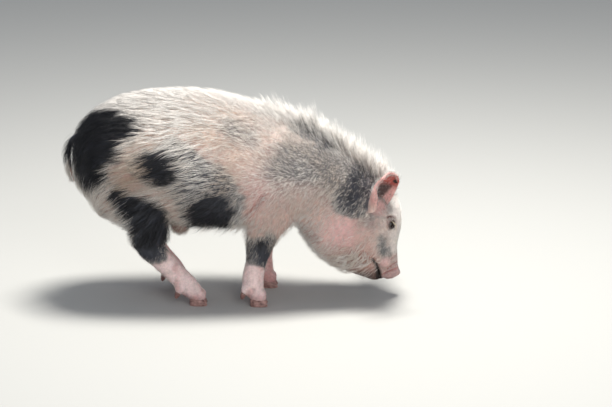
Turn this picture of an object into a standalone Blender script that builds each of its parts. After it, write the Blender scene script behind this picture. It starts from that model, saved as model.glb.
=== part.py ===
"""A small spotted domestic pig, standing with its head down to sniff the ground.

Metres, +Z up. The pig faces +X and its left side is +Y. The origin is on the floor under the middle
of its bounding box. The flesh is lofted from named stations, fused, dressed with locks of bristle and
parted by thin cuts. Eyes, ears, snout, tail and hooves sit in pockets of their own shape.
"""

import math
import random

import bmesh
import bpy
import numpy as np
from mathutils import Matrix, Vector
from mathutils.bvhtree import BVHTree

# Driving dimensions, in metres, in a working frame whose x = 0 lies between the feet
GAP = 0.0003
POCKET = 0.0006
CUT_WIDTH = 0.00036
VOXEL = 0.005
FLESH_SMOOTHING = 8
COAT_SMOOTHING = 2
FLESH_TRIANGLES = 2800
HEAD_FINENESS = 0.5
LEG_FINENESS = 0.15
FINENESS_FACTOR = 0.004
RINGS_BETWEEN = 3
RING_POINTS = 28
LEG_POINTS = 14

# How full a section's corners are: 2 is an ellipse
ROUND = 2.0
ROUNDNESS = 2.15
HEAD_ROUNDNESS = 2.7

LEFT = Vector((0.0, 1.0, 0.0))

# Trunk, neck and head: where the top line and the underside pass, the half width, and how far up the
# section is widest. The sections fan out round the throat as the neck bends down to the ground.
STATIONS = {
    "tail_head": ((-0.303, 0.309), (-0.304, 0.243), 0.038, 0.50),
    "rump": ((-0.287, 0.340), (-0.287, 0.214), 0.076, 0.50),
    "croup": ((-0.252, 0.370), (-0.249, 0.189), 0.101, 0.48),
    "hips": ((-0.205, 0.391), (-0.200, 0.174), 0.117, 0.46),
    "loin": ((-0.138, 0.401), (-0.140, 0.161), 0.124, 0.44),
    "belly": ((-0.065, 0.401), (-0.072, 0.153), 0.128, 0.42),
    "ribs": ((0.000, 0.389), (-0.008, 0.150), 0.126, 0.42),
    "withers": ((0.060, 0.372), (0.050, 0.149), 0.116, 0.44),
    "shoulder": ((0.120, 0.350), (0.090, 0.151), 0.106, 0.46),
    "neck": ((0.174, 0.322), (0.117, 0.151), 0.098, 0.46),
    "nape": ((0.222, 0.291), (0.130, 0.138), 0.093, 0.42),
    "jowl": ((0.260, 0.261), (0.142, 0.118), 0.091, 0.36),
    "poll": ((0.292, 0.231), (0.156, 0.098), 0.086, 0.36),
    "brow": ((0.316, 0.196), (0.176, 0.080), 0.076, 0.42),
    "eyes": ((0.323, 0.160), (0.200, 0.064), 0.063, 0.48),
    "cheek": ((0.320, 0.125), (0.225, 0.051), 0.048, 0.48),
    "muzzle": ((0.317, 0.094), (0.246, 0.042), 0.034, 0.50),
    "lips": ((0.317, 0.069), (0.259, 0.037), 0.0270, 0.50),
    "nose": ((0.319, 0.052), (0.268, 0.033), 0.0230, 0.50),
}

# Legs, for the right side: centre of each joint, half length fore and aft, half width
FORELEG = {
    "shoulder": ((0.078, 0.062, 0.240), 0.062, 0.040),
    "upper_arm": ((0.068, 0.068, 0.185), 0.048, 0.036),
    "elbow": ((0.056, 0.068, 0.148), 0.033, 0.028),
    "forearm": ((0.048, 0.066, 0.118), 0.0260, 0.0225),
    "knee": ((0.042, 0.064, 0.087), 0.0200, 0.0205),
    "cannon": ((0.0365, 0.064, 0.062), 0.0205, 0.0180),
    "fetlock": ((0.036, 0.064, 0.038), 0.0210, 0.0200),
    "pastern": ((0.043, 0.064, 0.020), 0.0160, 0.0180),
}
HINDLEG = {
    "hip": ((-0.200, 0.048, 0.295), 0.080, 0.052),
    "ham": ((-0.197, 0.060, 0.245), 0.084, 0.054),
    "thigh": ((-0.176, 0.066, 0.200), 0.060, 0.046),
    "gaskin": ((-0.163, 0.066, 0.158), 0.038, 0.033),
    "hock": ((-0.162, 0.063, 0.120), 0.0290, 0.0225),
    "shank": ((-0.144, 0.061, 0.095), 0.0220, 0.0190),
    "cannon": ((-0.116, 0.060, 0.065), 0.0198, 0.0175),
    "fetlock": ((-0.091, 0.059, 0.038), 0.0205, 0.0190),
    "pastern": ((-0.074, 0.058, 0.020), 0.0160, 0.0180),
}
# How far ahead of its fellow on the right each foot stands
STEP = {"front_right": 0.0, "front_left": 0.020, "hind_right": 0.0, "hind_left": -0.038}

# Soft swellings: centre on the right side, reach, and how far the skin is pushed
SWELLS = {
    "brow_ridge": ((0.300, 0.046, 0.186), 0.026, (0.003, 0.004, 0.001)),
    "eye_hollow": ((0.306, 0.046, 0.150), 0.020, (-0.002, -0.0035, 0.0)),
    "cheek_bone": ((0.262, 0.070, 0.150), 0.040, (0.0, 0.007, 0.0)),
    "tusk_lip": ((0.290, 0.034, 0.079), 0.016, (0.0, 0.0045, 0.0)),
    "under_lip": ((0.268, 0.026, 0.056), 0.016, (-0.001, 0.003, 0.0)),
    "snout_saddle": ((0.330, 0.000, 0.110), 0.040, (-0.005, 0.0, 0.0)),
    "shoulder_blade": ((0.085, 0.110, 0.235), 0.085, (0.0, 0.008, 0.0)),
    "flank_hollow": ((-0.110, 0.120, 0.200), 0.060, (0.0, -0.007, 0.0)),
    "point_of_hock": ((-0.191, 0.063, 0.128), 0.022, (-0.006, 0.0, 0.002)),
}

# The fold of the sheath under the belly: its centre and its radii
SHEATH = ((-0.106, 0.000, 0.147), (0.020, 0.013, 0.021))

# The feet, for the right toe: where the flesh of a toe or digit lies from its joint, and its radii
TOE_FLESH = ((0.0040, 0.0098, -0.0010), (0.0165, 0.0100, 0.0125))
DIGIT_FLESH = ((-0.0145, 0.0135, -0.0040), (0.0098, 0.0088, 0.0120))
CLEFT = ((0.0120, 0.0000, -0.0060), (0.0320, 0.0018, 0.0220))

# Hoof rings: height, shift forwards, whether it slopes, and its half width and half length
HOOF_RINGS = (
    (0.0000, 0.000, False, (0.0076, 0.0185, 0.0150)),
    (0.0025, 0.000, False, (0.0082, 0.0190, 0.0155)),
    (0.0155, -0.002, True, (0.0080, 0.0140, 0.0140)),
    (0.0215, -0.003, True, (0.0055, 0.0090, 0.0090)),
)
HOOF_PLACE = (0.0020, 0.0098)
HOOF_SLOPE = 0.22
HOOF_POINTS = 10
TOE_SPLAY = 0.10
DEWCLAW_PLACE = (-0.0155, 0.0135, -0.0040)
DEWCLAW_RINGS = ((0.0, 0.0042), (0.0105, 0.0056), (0.0160, 0.0040), (0.0190, 0.0020))
DEWCLAW_LEAN = (-0.35, 0.12, -0.93)

# The eyes: their place in profile, and a start well outside the head to look for the skin from
EYE_SIGHT = (0.302, 0.160)
OUTSIDE = 0.2
EYE_RADIUS = 0.0110
EYE_SINK = 0.0105
LID_THICKNESS = 0.0030
LID_STRETCH = 1.18
LID_OPENING = (0.0105, 0.0048)
OPENING_DEPTH = 1.1
LID_SLANT = math.radians(-50)

# The ears: the outline's start, run and fullness, the roll at the root, how much of it opens and where,
# and how far the tip curls forwards
EAR_ROOT = (0.276, 0.060, 0.199)
EAR_LENGTH = 0.080
EAR_HALF_WIDTH = 0.026
EAR_OUTLINE = (0.22, 0.765, 0.45)
EAR_ROLL = (1.95, 1.25, 0.75)
EAR_CURL = 0.012
EAR_THICKNESS = 0.0038
EAR_SUNK = 0.018
EAR_GRID = (8, 6)
EAR_ALONG = {"right": (0.38, -0.22, 0.90), "left": (0.06, 0.93, 0.26)}
EAR_FACING = {"right": (0.62, -0.78, 0.0), "left": (0.80, 0.10, -0.45)}

SNOUT_CENTRE = (0.3050, 0.0, 0.0440)
SNOUT_FACING = (0.316, 0.0, -0.949)
SNOUT_HALF = (0.0230, 0.0160)
SNOUT_RINGS = ((-0.0100, 0.72), (-0.0035, 0.90), (-0.0005, 1.0), (0.0028, 1.0), (0.0050, 0.90))
SNOUT_POINTS = 20
NOSTRIL_RADII = (0.0036, 0.0046, 0.0085)
NOSTRIL_SPREAD = 0.0098
NOSTRIL_DEPTH = 0.0045
NOSTRIL_LEAN = 0.35
MOUTH_HALF_LENGTH = 0.060
MOUTH_WIDTH = 0.0014
MOUTH_PATH = ((0.2850, 0.015), (0.2855, 0.040), (0.2835, 0.058), (0.2780, 0.074), (0.2685, 0.087))

TAIL_ROOT = (-0.286, 0.000, 0.320)
TAIL_REACH = (
    (0.0, 0.0, 0.0),
    (-0.022, 0.000, -0.002),
    (-0.034, 0.002, -0.024),
    (-0.033, 0.006, -0.058),
    (-0.025, 0.010, -0.096),
)
TAIL_RADIUS = 0.0085
TAIL_TAPER = 0.62
TAIL_STEPS = 10

# Depth of the bristly coat over the skin, and how much of it the core takes up
BODY_COAT = 0.013
BACK_COAT = 0.004
CREST_COAT = 0.024
CORE_SHARE = 0.42

# Where the coat fades: heights on the legs, which lie behind LEGS_END; reach from the nose on the head,
# which lies ahead of FACE_START; and the brow's x and height, with how much is gone there
LEGS_END = 0.115
LEG_FADE = (0.105, 0.155)
FACE_START = 0.16
NOSE = (0.300, 0.040)
FACE_FADE = (0.050, 0.150)
BROW_FADE = ((0.285, 0.310), (0.20, 0.24), 0.7)

# The deeper bands along the back and crest: half width, then where each sets in. The crest follows a
# line that falls forwards from x = CREST_LINE[0] at the height and slope that come next.
BACK_BAND = (0.045, (0.30, 0.36))
CREST_BAND = (0.034, (0.04, 0.16), (0.19, 0.23), (-0.050, 0.0))
CREST_LINE = (0.06, 0.375, 0.62)

# The lie of the bristles on the back, on buttocks and legs, and on the face, and where each takes over
BACK_LIE = (-1.0, 0.0, -0.12)
FLANK_DROP = (0.9, (0.30, 0.18))
DOWN_LIE = (-0.30, 0.0, -1.0)
BUTTOCK_TURN = (-0.215, -0.275)
LEG_TURN = (0.19, 0.13)
FACE_LIE = (-0.35, 0.0, 0.95)
FACE_TURN = ((0.270, 0.310), (0.26, 0.20))

# Locks of bristle: their reach along the skin, half width, and how far apart their roots are
LOCKS = {
    "flank": (0.094, 0.0165, 0.0320),
    "cheek": (0.060, 0.0130, 0.0250),
    "crest": (0.034, 0.0100, 0.0105),
}
LOCK_SHORTER = (1.0, 0.75, 0.55)
LOCK_GIRTHS = (0.70, 1.0, 0.72, 0.08)
LOCK_SUNK = 0.0045
LOCK_RISE = 0.7
LOCK_BEND_FROM = 0.3
LOCK_RIDGE = 0.0034
LOCK_KEEL = 0.0022
LOCK_CURL = 0.35
LOCK_TRIES = 6000
LOCK_SEED = 19
LENGTHWISE = 0.62
LEAST_COAT = 0.0085
CUT_CLEARANCE = 0.0030
CREST_SPAN = (0.050, 0.285)
CREST_HALF_WIDTH = 0.016
CREST_ABOVE = 0.20
CHEEK_AHEAD = 0.19
CHEEK_BELOW = 0.19
LOCKS_END = 0.151

# Places without locks: the tail in the cleft of the hams, and the roots of the ears
BARE = (((-0.310, 0.000, 0.275), 0.060), ((0.276, 0.075, 0.203), 0.046), ((0.276, -0.075, 0.203), 0.046))

# Thin cuts between the nodes of flesh: a point on the cut, its facing, and its half size
CUT_FORE = ((0.133, 0.0, 0.255), (0.992, 0.0, -0.125), (0.20, 0.20))
CUT_NECK = ((0.206, 0.0, 0.189), (0.822, 0.0, -0.569), (0.20, 0.20))
LEG_CUT_INNER = 0.021
LEG_CUT_OUTER = 0.150
FORE_CUT = (0.058, 0.128, 0.14, 0.052)
HIND_CUT = (-0.168, 0.134, 0.06, 0.072)


def smooth(low, high, value):
    """Goes from 0 to 1 as value goes from low to high, with soft ends."""
    share = min(1.0, max(0.0, (value - low) / (high - low)))
    return share * share * (3.0 - 2.0 * share)


def mirrored(place, side):
    """A place given for one side, on the side asked for: 1 is left and -1 is right."""
    return Vector((place[0], place[1] * side, place[2]))


def clear_scene():
    for thing in list(bpy.data.objects):
        bpy.data.objects.remove(thing, do_unlink=True)


def finish(name, colour, roughness):
    """A Principled material with one colour."""
    made = bpy.data.materials.new(name)
    made.use_nodes = True
    shader = made.node_tree.nodes["Principled BSDF"]
    shader.inputs["Base Color"].default_value = (*colour, 1.0)
    shader.inputs["Roughness"].default_value = roughness
    shader.inputs["Metallic"].default_value = 0.0
    return made


def object_from(name, shape):
    """Turns a bmesh into an object in the scene, with its faces pointing out."""
    bmesh.ops.recalc_face_normals(shape, faces=shape.faces)
    if shape.calc_volume(signed=True) < 0:
        bmesh.ops.reverse_faces(shape, faces=shape.faces)
    mesh = bpy.data.meshes.new(name)
    shape.to_mesh(mesh)
    shape.free()
    made = bpy.data.objects.new(name, mesh)
    bpy.context.scene.collection.objects.link(made)
    return made


def evaluated(source):
    """Makes an object's modifiers permanent."""
    graph = bpy.context.evaluated_depsgraph_get()
    mesh = bpy.data.meshes.new_from_object(source.evaluated_get(graph))
    source.modifiers.clear()
    source.data = mesh
    return source


def combined(body, pieces, operation, solver="EXACT"):
    """Joins pieces to a body, or cuts them from it, in one Boolean, and removes them.

    EXACT leaves open edges where many locks cross, so the flesh is combined with MANIFOLD.
    """
    group = bpy.data.collections.new("pieces")
    for piece in pieces:
        group.objects.link(piece)
    boolean = body.modifiers.new("combine", "BOOLEAN")
    boolean.operation = operation
    boolean.operand_type = "COLLECTION"
    boolean.collection = group
    boolean.solver = solver
    evaluated(body)
    for piece in pieces:
        bpy.data.objects.remove(piece, do_unlink=True)
    bpy.data.collections.remove(group)
    return body


def through_points(points, share):
    """A smooth curve through the rows of points; share runs from 0 to 1."""
    rows = np.array(points, float)
    place = share * (len(rows) - 1)
    first = min(int(place), len(rows) - 2)
    t = place - first
    before = rows[max(first - 1, 0)]
    after = rows[min(first + 2, len(rows) - 1)]
    here, there = rows[first], rows[first + 1]
    return 0.5 * (
        2 * here
        + (there - before) * t
        + (2 * before - 5 * here + 4 * there - after) * t * t
        + (3 * here - before - 3 * there + after) * t * t * t
    )


def power(value, exponent):
    return math.copysign(abs(value) ** exponent, value)


def section(shape, centre, across, upward, halves, points, roundness=ROUNDNESS):
    """One closed ring. Its halves are its half width, and its reach above and below the centre."""
    half_width, above, below = halves
    ring = bmesh.ops.create_circle(shape, segments=points, radius=1.0)["verts"]
    for vert in ring:
        turn = math.atan2(vert.co.y, vert.co.x)
        side = power(math.cos(turn), 2.0 / roundness) * half_width
        rise = power(math.sin(turn), 2.0 / roundness)
        rise *= above if rise > 0 else below
        vert.co = centre + across * side + upward * rise
    return [edge for edge in shape.edges if edge.verts[0] in ring and edge.verts[1] in ring]


def bridged(name, shape, rings):
    """Joins rings into one skin, closes both ends and makes it an object."""
    for near, far in zip(rings, rings[1:]):
        bmesh.ops.bridge_loops(shape, edges=near + far)
    bmesh.ops.contextual_create(shape, geom=rings[0])
    bmesh.ops.contextual_create(shape, geom=rings[-1])
    return object_from(name, shape)


def trunk():
    """Torso, neck and head as one lofted form."""
    rows = [(*top, *low, width, level) for top, low, width, level in STATIONS.values()]
    count = (len(rows) - 1) * RINGS_BETWEEN
    shape = bmesh.new()
    rings = []
    for step in range(count + 1):
        row = through_points(rows, step / count)
        top = Vector((row[0], 0.0, row[1]))
        low = Vector((row[2], 0.0, row[3]))
        height = (top - low).length
        upward = (top - low) / height
        halves = (row[4], height * (1.0 - row[5]), height * row[5])
        squareness = smooth(0.20, 0.31, row[0]) * (HEAD_ROUNDNESS - ROUNDNESS)
        rings.append(
            section(shape, low + upward * halves[2], LEFT, upward, halves, RING_POINTS, ROUNDNESS + squareness)
        )
    return bridged("trunk_form", shape, rings)


def leg_rows(leg):
    """Joint centres and half sizes of one leg, with its foot stepped ahead of the hip."""
    joints = FORELEG if leg.startswith("front") else HINDLEG
    side = -1 if leg.endswith("right") else 1
    top = max(place[2] for place, _, _ in joints.values())
    rows = {}
    for joint, (place, length, width) in joints.items():
        lean = STEP[leg] * (1.0 - place[2] / top)
        rows[joint] = (place[0] + lean, place[1] * side, place[2], length, width)
    return rows


def leg_form(leg):
    """One lofted leg from hip or shoulder to pastern."""
    rows = list(leg_rows(leg).values())
    count = (len(rows) - 1) * RINGS_BETWEEN
    shape = bmesh.new()
    rings = []
    for step in range(count + 1):
        row = through_points(rows, step / count)
        later = through_points(rows, min(1.0, (step + 0.5) / count))
        sooner = through_points(rows, max(0.0, (step - 0.5) / count))
        down = Vector(later[:3] - sooner[:3]).normalized()
        forward = LEFT.cross(down).normalized()
        halves = (row[4], row[3], row[3])
        rings.append(section(shape, Vector(row[:3]), LEFT, forward, halves, LEG_POINTS))
    return bridged(f"{leg}_form", shape, rings)


def ball(name, centre, radii, turn=None, segments=12):
    """An oval ball, turned by a matrix where one is given."""
    shape = bmesh.new()
    bmesh.ops.create_uvsphere(shape, u_segments=segments, v_segments=segments // 2, radius=1.0)
    bmesh.ops.scale(shape, vec=radii, verts=shape.verts)
    if turn is not None:
        bmesh.ops.transform(shape, matrix=turn, verts=shape.verts)
    bmesh.ops.translate(shape, vec=centre, verts=shape.verts)
    return object_from(name, shape)


def joint_place(leg, joint):
    return Vector(leg_rows(leg)[joint][:3])


def toe_forms(leg):
    """The flesh of two main toes and two small ones behind, to be fused with the leg."""
    forms = []
    for toe in (-1, 1):
        for joint, (offset, radii) in (("pastern", TOE_FLESH), ("fetlock", DIGIT_FLESH)):
            forms.append(ball(f"{leg}_toe", joint_place(leg, joint) + mirrored(offset, toe), radii))
    return forms


def swell(mesh, centre, reach, push):
    """Moves the skin near a centre, fading out at its reach, as a thumb would in clay."""
    for vert in mesh.vertices:
        share = 1.0 - (vert.co - centre).length / reach
        if share > 0:
            vert.co += push * (share * share * (3.0 - 2.0 * share))


def coat_depth(place):
    """How far the coat stands off the skin at a place."""
    x, y, z = place
    legs = smooth(*LEG_FADE, z) if x < LEGS_END else 1.0
    face = smooth(*FACE_FADE, math.dist((x, z), NOSE)) if x > FACE_START else 1.0
    brow_x, brow_z, gone = BROW_FADE
    forehead = 1.0 - gone * smooth(*brow_x, x) * (1.0 - smooth(*brow_z, z))
    depth = BODY_COAT * legs * face * forehead
    half_width, back_z = BACK_BAND
    depth += BACK_COAT * math.exp(-((y / half_width) ** 2)) * smooth(*back_z, z)
    half_width, crest_x, crest_z, near_line = CREST_BAND
    start, height, fall = CREST_LINE
    top_line = height - fall * max(0.0, x - start)
    over = smooth(*crest_z, z) * smooth(*near_line, z - top_line)
    depth += CREST_COAT * math.exp(-((y / half_width) ** 2)) * smooth(*crest_x, x) * over
    return depth


def coat_lie(place):
    """The way the bristles lie at a place, before it is turned along the skin."""
    x, y, z = place
    drop, flank_z = FLANK_DROP
    back = Vector(BACK_LIE) - Vector((0.0, 0.0, drop * smooth(*flank_z, z)))
    leg = smooth(*LEG_TURN, z) if x < LEGS_END else 0.0
    face_x, face_z = FACE_TURN
    lie = back.lerp(Vector(DOWN_LIE), max(smooth(*BUTTOCK_TURN, x), leg))
    return lie.lerp(Vector(FACE_LIE), smooth(*face_x, x) * smooth(*face_z, z)).normalized()


def fused(body, rounds):
    """Melts overlapping forms into one skin and smooths it."""
    melt = body.modifiers.new("melt", "REMESH")
    melt.mode = "VOXEL"
    melt.voxel_size = VOXEL
    soften = body.modifiers.new("soften", "SMOOTH")
    soften.factor = 0.5
    soften.iterations = rounds
    return evaluated(body)


def flesh():
    """The body's core: flesh fused and smoothed, and the share of the coat that it takes up.

    A thick coat folds over itself in the creases, so it is fused a second time.
    """
    pieces = [trunk(), ball("sheath_form", *SHEATH)]
    for leg in STEP:
        pieces.append(leg_form(leg))
        pieces.extend(toe_forms(leg))
    shape = bmesh.new()
    for piece in pieces:
        shape.from_mesh(piece.data)
        bpy.data.objects.remove(piece, do_unlink=True)
    body = fused(object_from("flesh", shape), FLESH_SMOOTHING)
    mesh = body.data
    for centre, reach, push in SWELLS.values():
        for side in (-1, 1) if centre[1] else (1,):
            swell(mesh, mirrored(centre, side), reach, mirrored(push, side))
    mesh.update()
    for vert, normal in [(vert, vert.normal.copy()) for vert in mesh.vertices]:
        vert.co += normal * coat_depth(vert.co) * CORE_SHARE
    mesh = fused(body, COAT_SMOOTHING).data
    fine = body.vertex_groups.new(name="fine")
    for vert in mesh.vertices:
        legs = LEG_FINENESS if vert.co.z < LOCKS_END else 0.0
        fine.add([vert.index], max(legs, HEAD_FINENESS * smooth(0.20, 0.26, vert.co.x)), "REPLACE")
    thin = body.modifiers.new("thin", "DECIMATE")
    triangles = sum(len(face.vertices) - 2 for face in mesh.polygons)
    thin.ratio = FLESH_TRIANGLES / triangles
    thin.vertex_group = fine.name
    thin.vertex_group_factor = FINENESS_FACTOR
    thin.invert_vertex_group = True
    thin.use_collapse_triangulate = True
    return evaluated(body)


def tree_of(body):
    """A search tree over a body's surface."""
    shape = bmesh.new()
    shape.from_mesh(body.data)
    tree = BVHTree.FromBMesh(shape)
    shape.free()
    return tree


def lock_path(tree, root, reach, curl):
    """Places along a lock, from under the core's skin to the coat's full depth, and the way out at each."""
    place, outward, _, _ = tree.find_nearest(root)
    steps = len(LOCK_GIRTHS) - 1
    path = []
    for step in range(steps + 1):
        share = step / steps
        rise = coat_depth(place) * (1.0 - CORE_SHARE)
        path.append((place + outward * ((rise + LOCK_SUNK) * share**LOCK_RISE - LOCK_SUNK), outward))
        lie = coat_lie(place)
        along = (lie - outward * lie.dot(outward)).normalized()
        along += along.cross(outward) * curl * (share - LOCK_BEND_FROM)
        place, facing, _, _ = tree.find_nearest(place + along.normalized() * reach / steps)
        outward = (outward + facing).normalized()
    return path


def lock(name, path, half_width):
    """One flat tapered lock with three sides: a low keel on either side and a ridge between them."""
    shape = bmesh.new()
    rings = []
    for step, ((place, outward), girth) in enumerate(zip(path, LOCK_GIRTHS)):
        before, after = path[max(step - 1, 0)][0], path[min(step + 1, len(path) - 1)][0]
        across = (after - before).cross(outward).normalized()
        halves = (half_width * girth, LOCK_RIDGE * girth, 2 * LOCK_KEEL * girth)
        rings.append(section(shape, place, across, outward, halves, 3, ROUND))
    return bridged(name, shape, rings)


def side_of(place, cut):
    """How far ahead of a thin cut a place is."""
    return (place - Vector(cut[0])).dot(Vector(cut[1]).normalized())


def clear(path):
    """Whether a lock stays on one side of each cut, and off the bare places and the cuts of the legs."""
    for cut in (CUT_FORE, CUT_NECK):
        ahead = [side_of(place, cut) for place, _ in path]
        if min(ahead) < CUT_CLEARANCE and max(ahead) > -CUT_CLEARANCE:
            return False
    for place, _ in path:
        if place.z < LOCKS_END and abs(place.y) > LEG_CUT_INNER and place.x < CUT_FORE[0][0]:
            return False
        if any((place - Vector(middle)).length < reach for middle, reach in BARE):
            return False
    return True


def locks(body, tree):
    """Locks rooted all over the bristly parts of the core, and a row of them along the crest."""
    chance = random.Random(LOCK_SEED)
    faces = list(body.data.polygons)
    roots = []
    made = []
    for face in chance.choices(faces, weights=[face.area for face in faces], k=LOCK_TRIES):
        root = face.center
        kind = "cheek" if root.x > CHEEK_AHEAD or root.z < CHEEK_BELOW else "flank"
        middle = abs(root.y) < CREST_HALF_WIDTH and root.z > CREST_ABOVE
        if middle and CREST_SPAN[0] < root.x < CREST_SPAN[1]:
            kind = "crest"
        reach, half_width, apart = LOCKS[kind]
        near = ((other.x - root.x) * LENGTHWISE for other in roots)
        if coat_depth(root) < LEAST_COAT:
            continue
        if any(math.hypot(dx, other.y - root.y, other.z - root.z) < apart for dx, other in zip(near, roots)):
            continue
        curl = chance.uniform(-LOCK_CURL, LOCK_CURL)
        for share in LOCK_SHORTER:
            path = lock_path(tree, root, reach * share, curl)
            if clear(path):
                roots.append(root.copy())
                made.append(lock(f"lock_{len(made)}", path, half_width))
                break
    return made


def frame_matrix(across, along, facing):
    """A turn whose axes are the three directions given."""
    turn = Matrix.Identity(4)
    for column, axis in enumerate((across, along, facing)):
        for row in range(3):
            turn[row][column] = axis[row]
    return turn


def eye_frame(tree, side):
    """Where the eyeball sits, and the way it looks: out of the skin at the eye's place in profile."""
    outside = Vector((EYE_SIGHT[0], side * OUTSIDE, EYE_SIGHT[1]))
    place, normal, _, _ = tree.ray_cast(outside, Vector((0.0, -side, 0.0)))
    facing = normal.normalized()
    upward = Vector((0.0, 0.0, 1.0))
    across = upward.cross(facing).normalized()
    slant = Matrix.Rotation(LID_SLANT * -side, 4, facing)
    across = (slant @ across).normalized()
    return place - facing * EYE_SINK, frame_matrix(across, facing.cross(across), facing)


def lid_forms(side, centre, turn):
    """The fold of lid over an eye, and the cutters for its opening and for the eyeball's socket."""
    outer = EYE_RADIUS + LID_THICKNESS
    lid = ball(f"lid_form_{side}", centre, (outer * LID_STRETCH, outer, outer), turn)
    ahead = Matrix.Translation((0.0, 0.0, outer))
    wide, high = LID_OPENING
    opening = ball(f"lid_opening_{side}", centre, (wide, high, outer * OPENING_DEPTH), turn @ ahead)
    socket = ball(f"socket_{side}", centre, (EYE_RADIUS + GAP,) * 3)
    return lid, [opening, socket]


def ear_shell(name, side, swollen=0.0):
    """A cupped leaf of an ear, its root sunk in the head. Swollen grows it on every side."""
    hand = 1 if side == "left" else -1
    along = Vector(EAR_ALONG[side]).normalized()
    facing = Vector(EAR_FACING[side])
    facing = (facing - along * facing.dot(along)).normalized()
    across = along.cross(facing)
    root = mirrored(EAR_ROOT, hand)
    rows, columns = EAR_GRID
    start, run, fullness = EAR_OUTLINE
    roll, opened, open_by = EAR_ROLL
    shape = bmesh.new()
    bmesh.ops.create_grid(shape, x_segments=columns, y_segments=rows, size=1.0)
    for vert in shape.verts:
        share = (vert.co.y + 1.0) / 2.0
        width = EAR_HALF_WIDTH * math.sin(math.pi * (start + run * share)) ** fullness
        wrap = roll - opened * smooth(0.0, open_by, share)
        angle = vert.co.x * wrap
        radius = width / wrap
        height = -EAR_SUNK + (EAR_LENGTH + EAR_SUNK) * share
        lift = radius * (1.0 - math.cos(angle)) + EAR_CURL * share * share
        vert.co = root + along * height + across * radius * math.sin(angle) + facing * lift
    bmesh.ops.triangulate(shape, faces=shape.faces[:], quad_method="FIXED")
    bmesh.ops.recalc_face_normals(shape, faces=shape.faces)
    bmesh.ops.solidify(shape, geom=shape.faces[:], thickness=EAR_THICKNESS)
    made = object_from(name, shape)
    return grown(made, swollen) if swollen else made


def grown(thing, distance):
    """Moves a shape's surface outwards by a distance."""
    mesh = thing.data
    mesh.update()
    for vert, normal in [(vert, vert.normal.copy()) for vert in mesh.vertices]:
        vert.co += normal * distance
    return thing


def snout_plate(name):
    """The flat disc at the end of the snout, with its two nostrils."""
    facing = Vector(SNOUT_FACING)
    upward = facing.cross(LEFT).normalized() * -1.0
    wide, high = SNOUT_HALF
    shape = bmesh.new()
    rings = []
    for depth, share in SNOUT_RINGS:
        centre = Vector(SNOUT_CENTRE) + facing * depth
        halves = (wide * share, high * share, high * share)
        rings.append(section(shape, centre, LEFT, upward, halves, SNOUT_POINTS))
    return bridged(name, shape, rings)


def nostrils():
    """Two slanting ovals, to be cut from the snout's face."""
    facing = Vector(SNOUT_FACING)
    turn = frame_matrix(LEFT, facing.cross(LEFT), facing)
    holes = []
    for side in (-1, 1):
        centre = Vector(SNOUT_CENTRE) + facing * NOSTRIL_DEPTH + LEFT * side * NOSTRIL_SPREAD
        lean = Matrix.Rotation(side * NOSTRIL_LEAN, 4, "Z")
        holes.append(ball(f"nostril_{side}", centre, NOSTRIL_RADII, turn @ lean, segments=8))
    return holes


def mouth_slit():
    """A thin curved blade that parts the lips from the snout back to the corner of the mouth."""
    shape = bmesh.new()
    front, back = [], []
    for x, z in MOUTH_PATH:
        front.append(shape.verts.new((x + MOUTH_WIDTH / 2, -MOUTH_HALF_LENGTH, z)))
        back.append(shape.verts.new((x - MOUTH_WIDTH / 2, -MOUTH_HALF_LENGTH, z)))
    outline = shape.faces.new(front + back[::-1])
    swept = bmesh.ops.extrude_face_region(shape, geom=[outline])["geom"]
    moved = [item for item in swept if isinstance(item, bmesh.types.BMVert)]
    bmesh.ops.translate(shape, vec=(0.0, 2 * MOUTH_HALF_LENGTH, 0.0), verts=moved)
    return object_from("mouth_slit", shape)


def cleft(leg):
    """A thin wedge that parts the two main toes."""
    offset, size = CLEFT
    shape = bmesh.new()
    bmesh.ops.create_cube(shape, size=1.0)
    bmesh.ops.scale(shape, vec=size, verts=shape.verts)
    bmesh.ops.translate(shape, vec=joint_place(leg, "pastern") + Vector(offset), verts=shape.verts)
    return object_from(f"{leg}_cleft", shape)


def hoof(name, leg, toe, swollen=0.0):
    """One main hoof: a flat sole, a sloping wall and a root sunk in the toe."""
    ahead, aside = HOOF_PLACE
    place = joint_place(leg, "pastern") + Vector((ahead, toe * aside, 0.0))
    place.z = 0.0
    forward = Vector((math.cos(TOE_SPLAY), toe * math.sin(TOE_SPLAY), 0.0))
    across = Vector((0.0, 0.0, 1.0)).cross(forward)
    tilted = (forward + Vector((0.0, 0.0, HOOF_SLOPE))).normalized()
    shape = bmesh.new()
    rings = []
    for height, shift, slopes, halves in HOOF_RINGS:
        centre = place + forward * shift + Vector((0.0, 0.0, height))
        lengthwise = tilted if slopes else forward
        rings.append(section(shape, centre, across, lengthwise, halves, HOOF_POINTS))
    made = bridged(name, shape, rings)
    return grown(made, swollen) if swollen else made


def dewclaw(name, leg, toe, swollen=0.0):
    """One small horn behind the fetlock, its root sunk in its digit."""
    root = joint_place(leg, "fetlock") + mirrored(DEWCLAW_PLACE, toe)
    down = mirrored(DEWCLAW_LEAN, toe).normalized()
    forward = LEFT.cross(down).normalized()
    across = down.cross(forward)
    shape = bmesh.new()
    rings = []
    for length, radius in DEWCLAW_RINGS:
        rings.append(section(shape, root + down * length, across, forward, (radius,) * 3, 8, ROUND))
    made = bridged(name, shape, rings)
    return grown(made, swollen) if swollen else made


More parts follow.
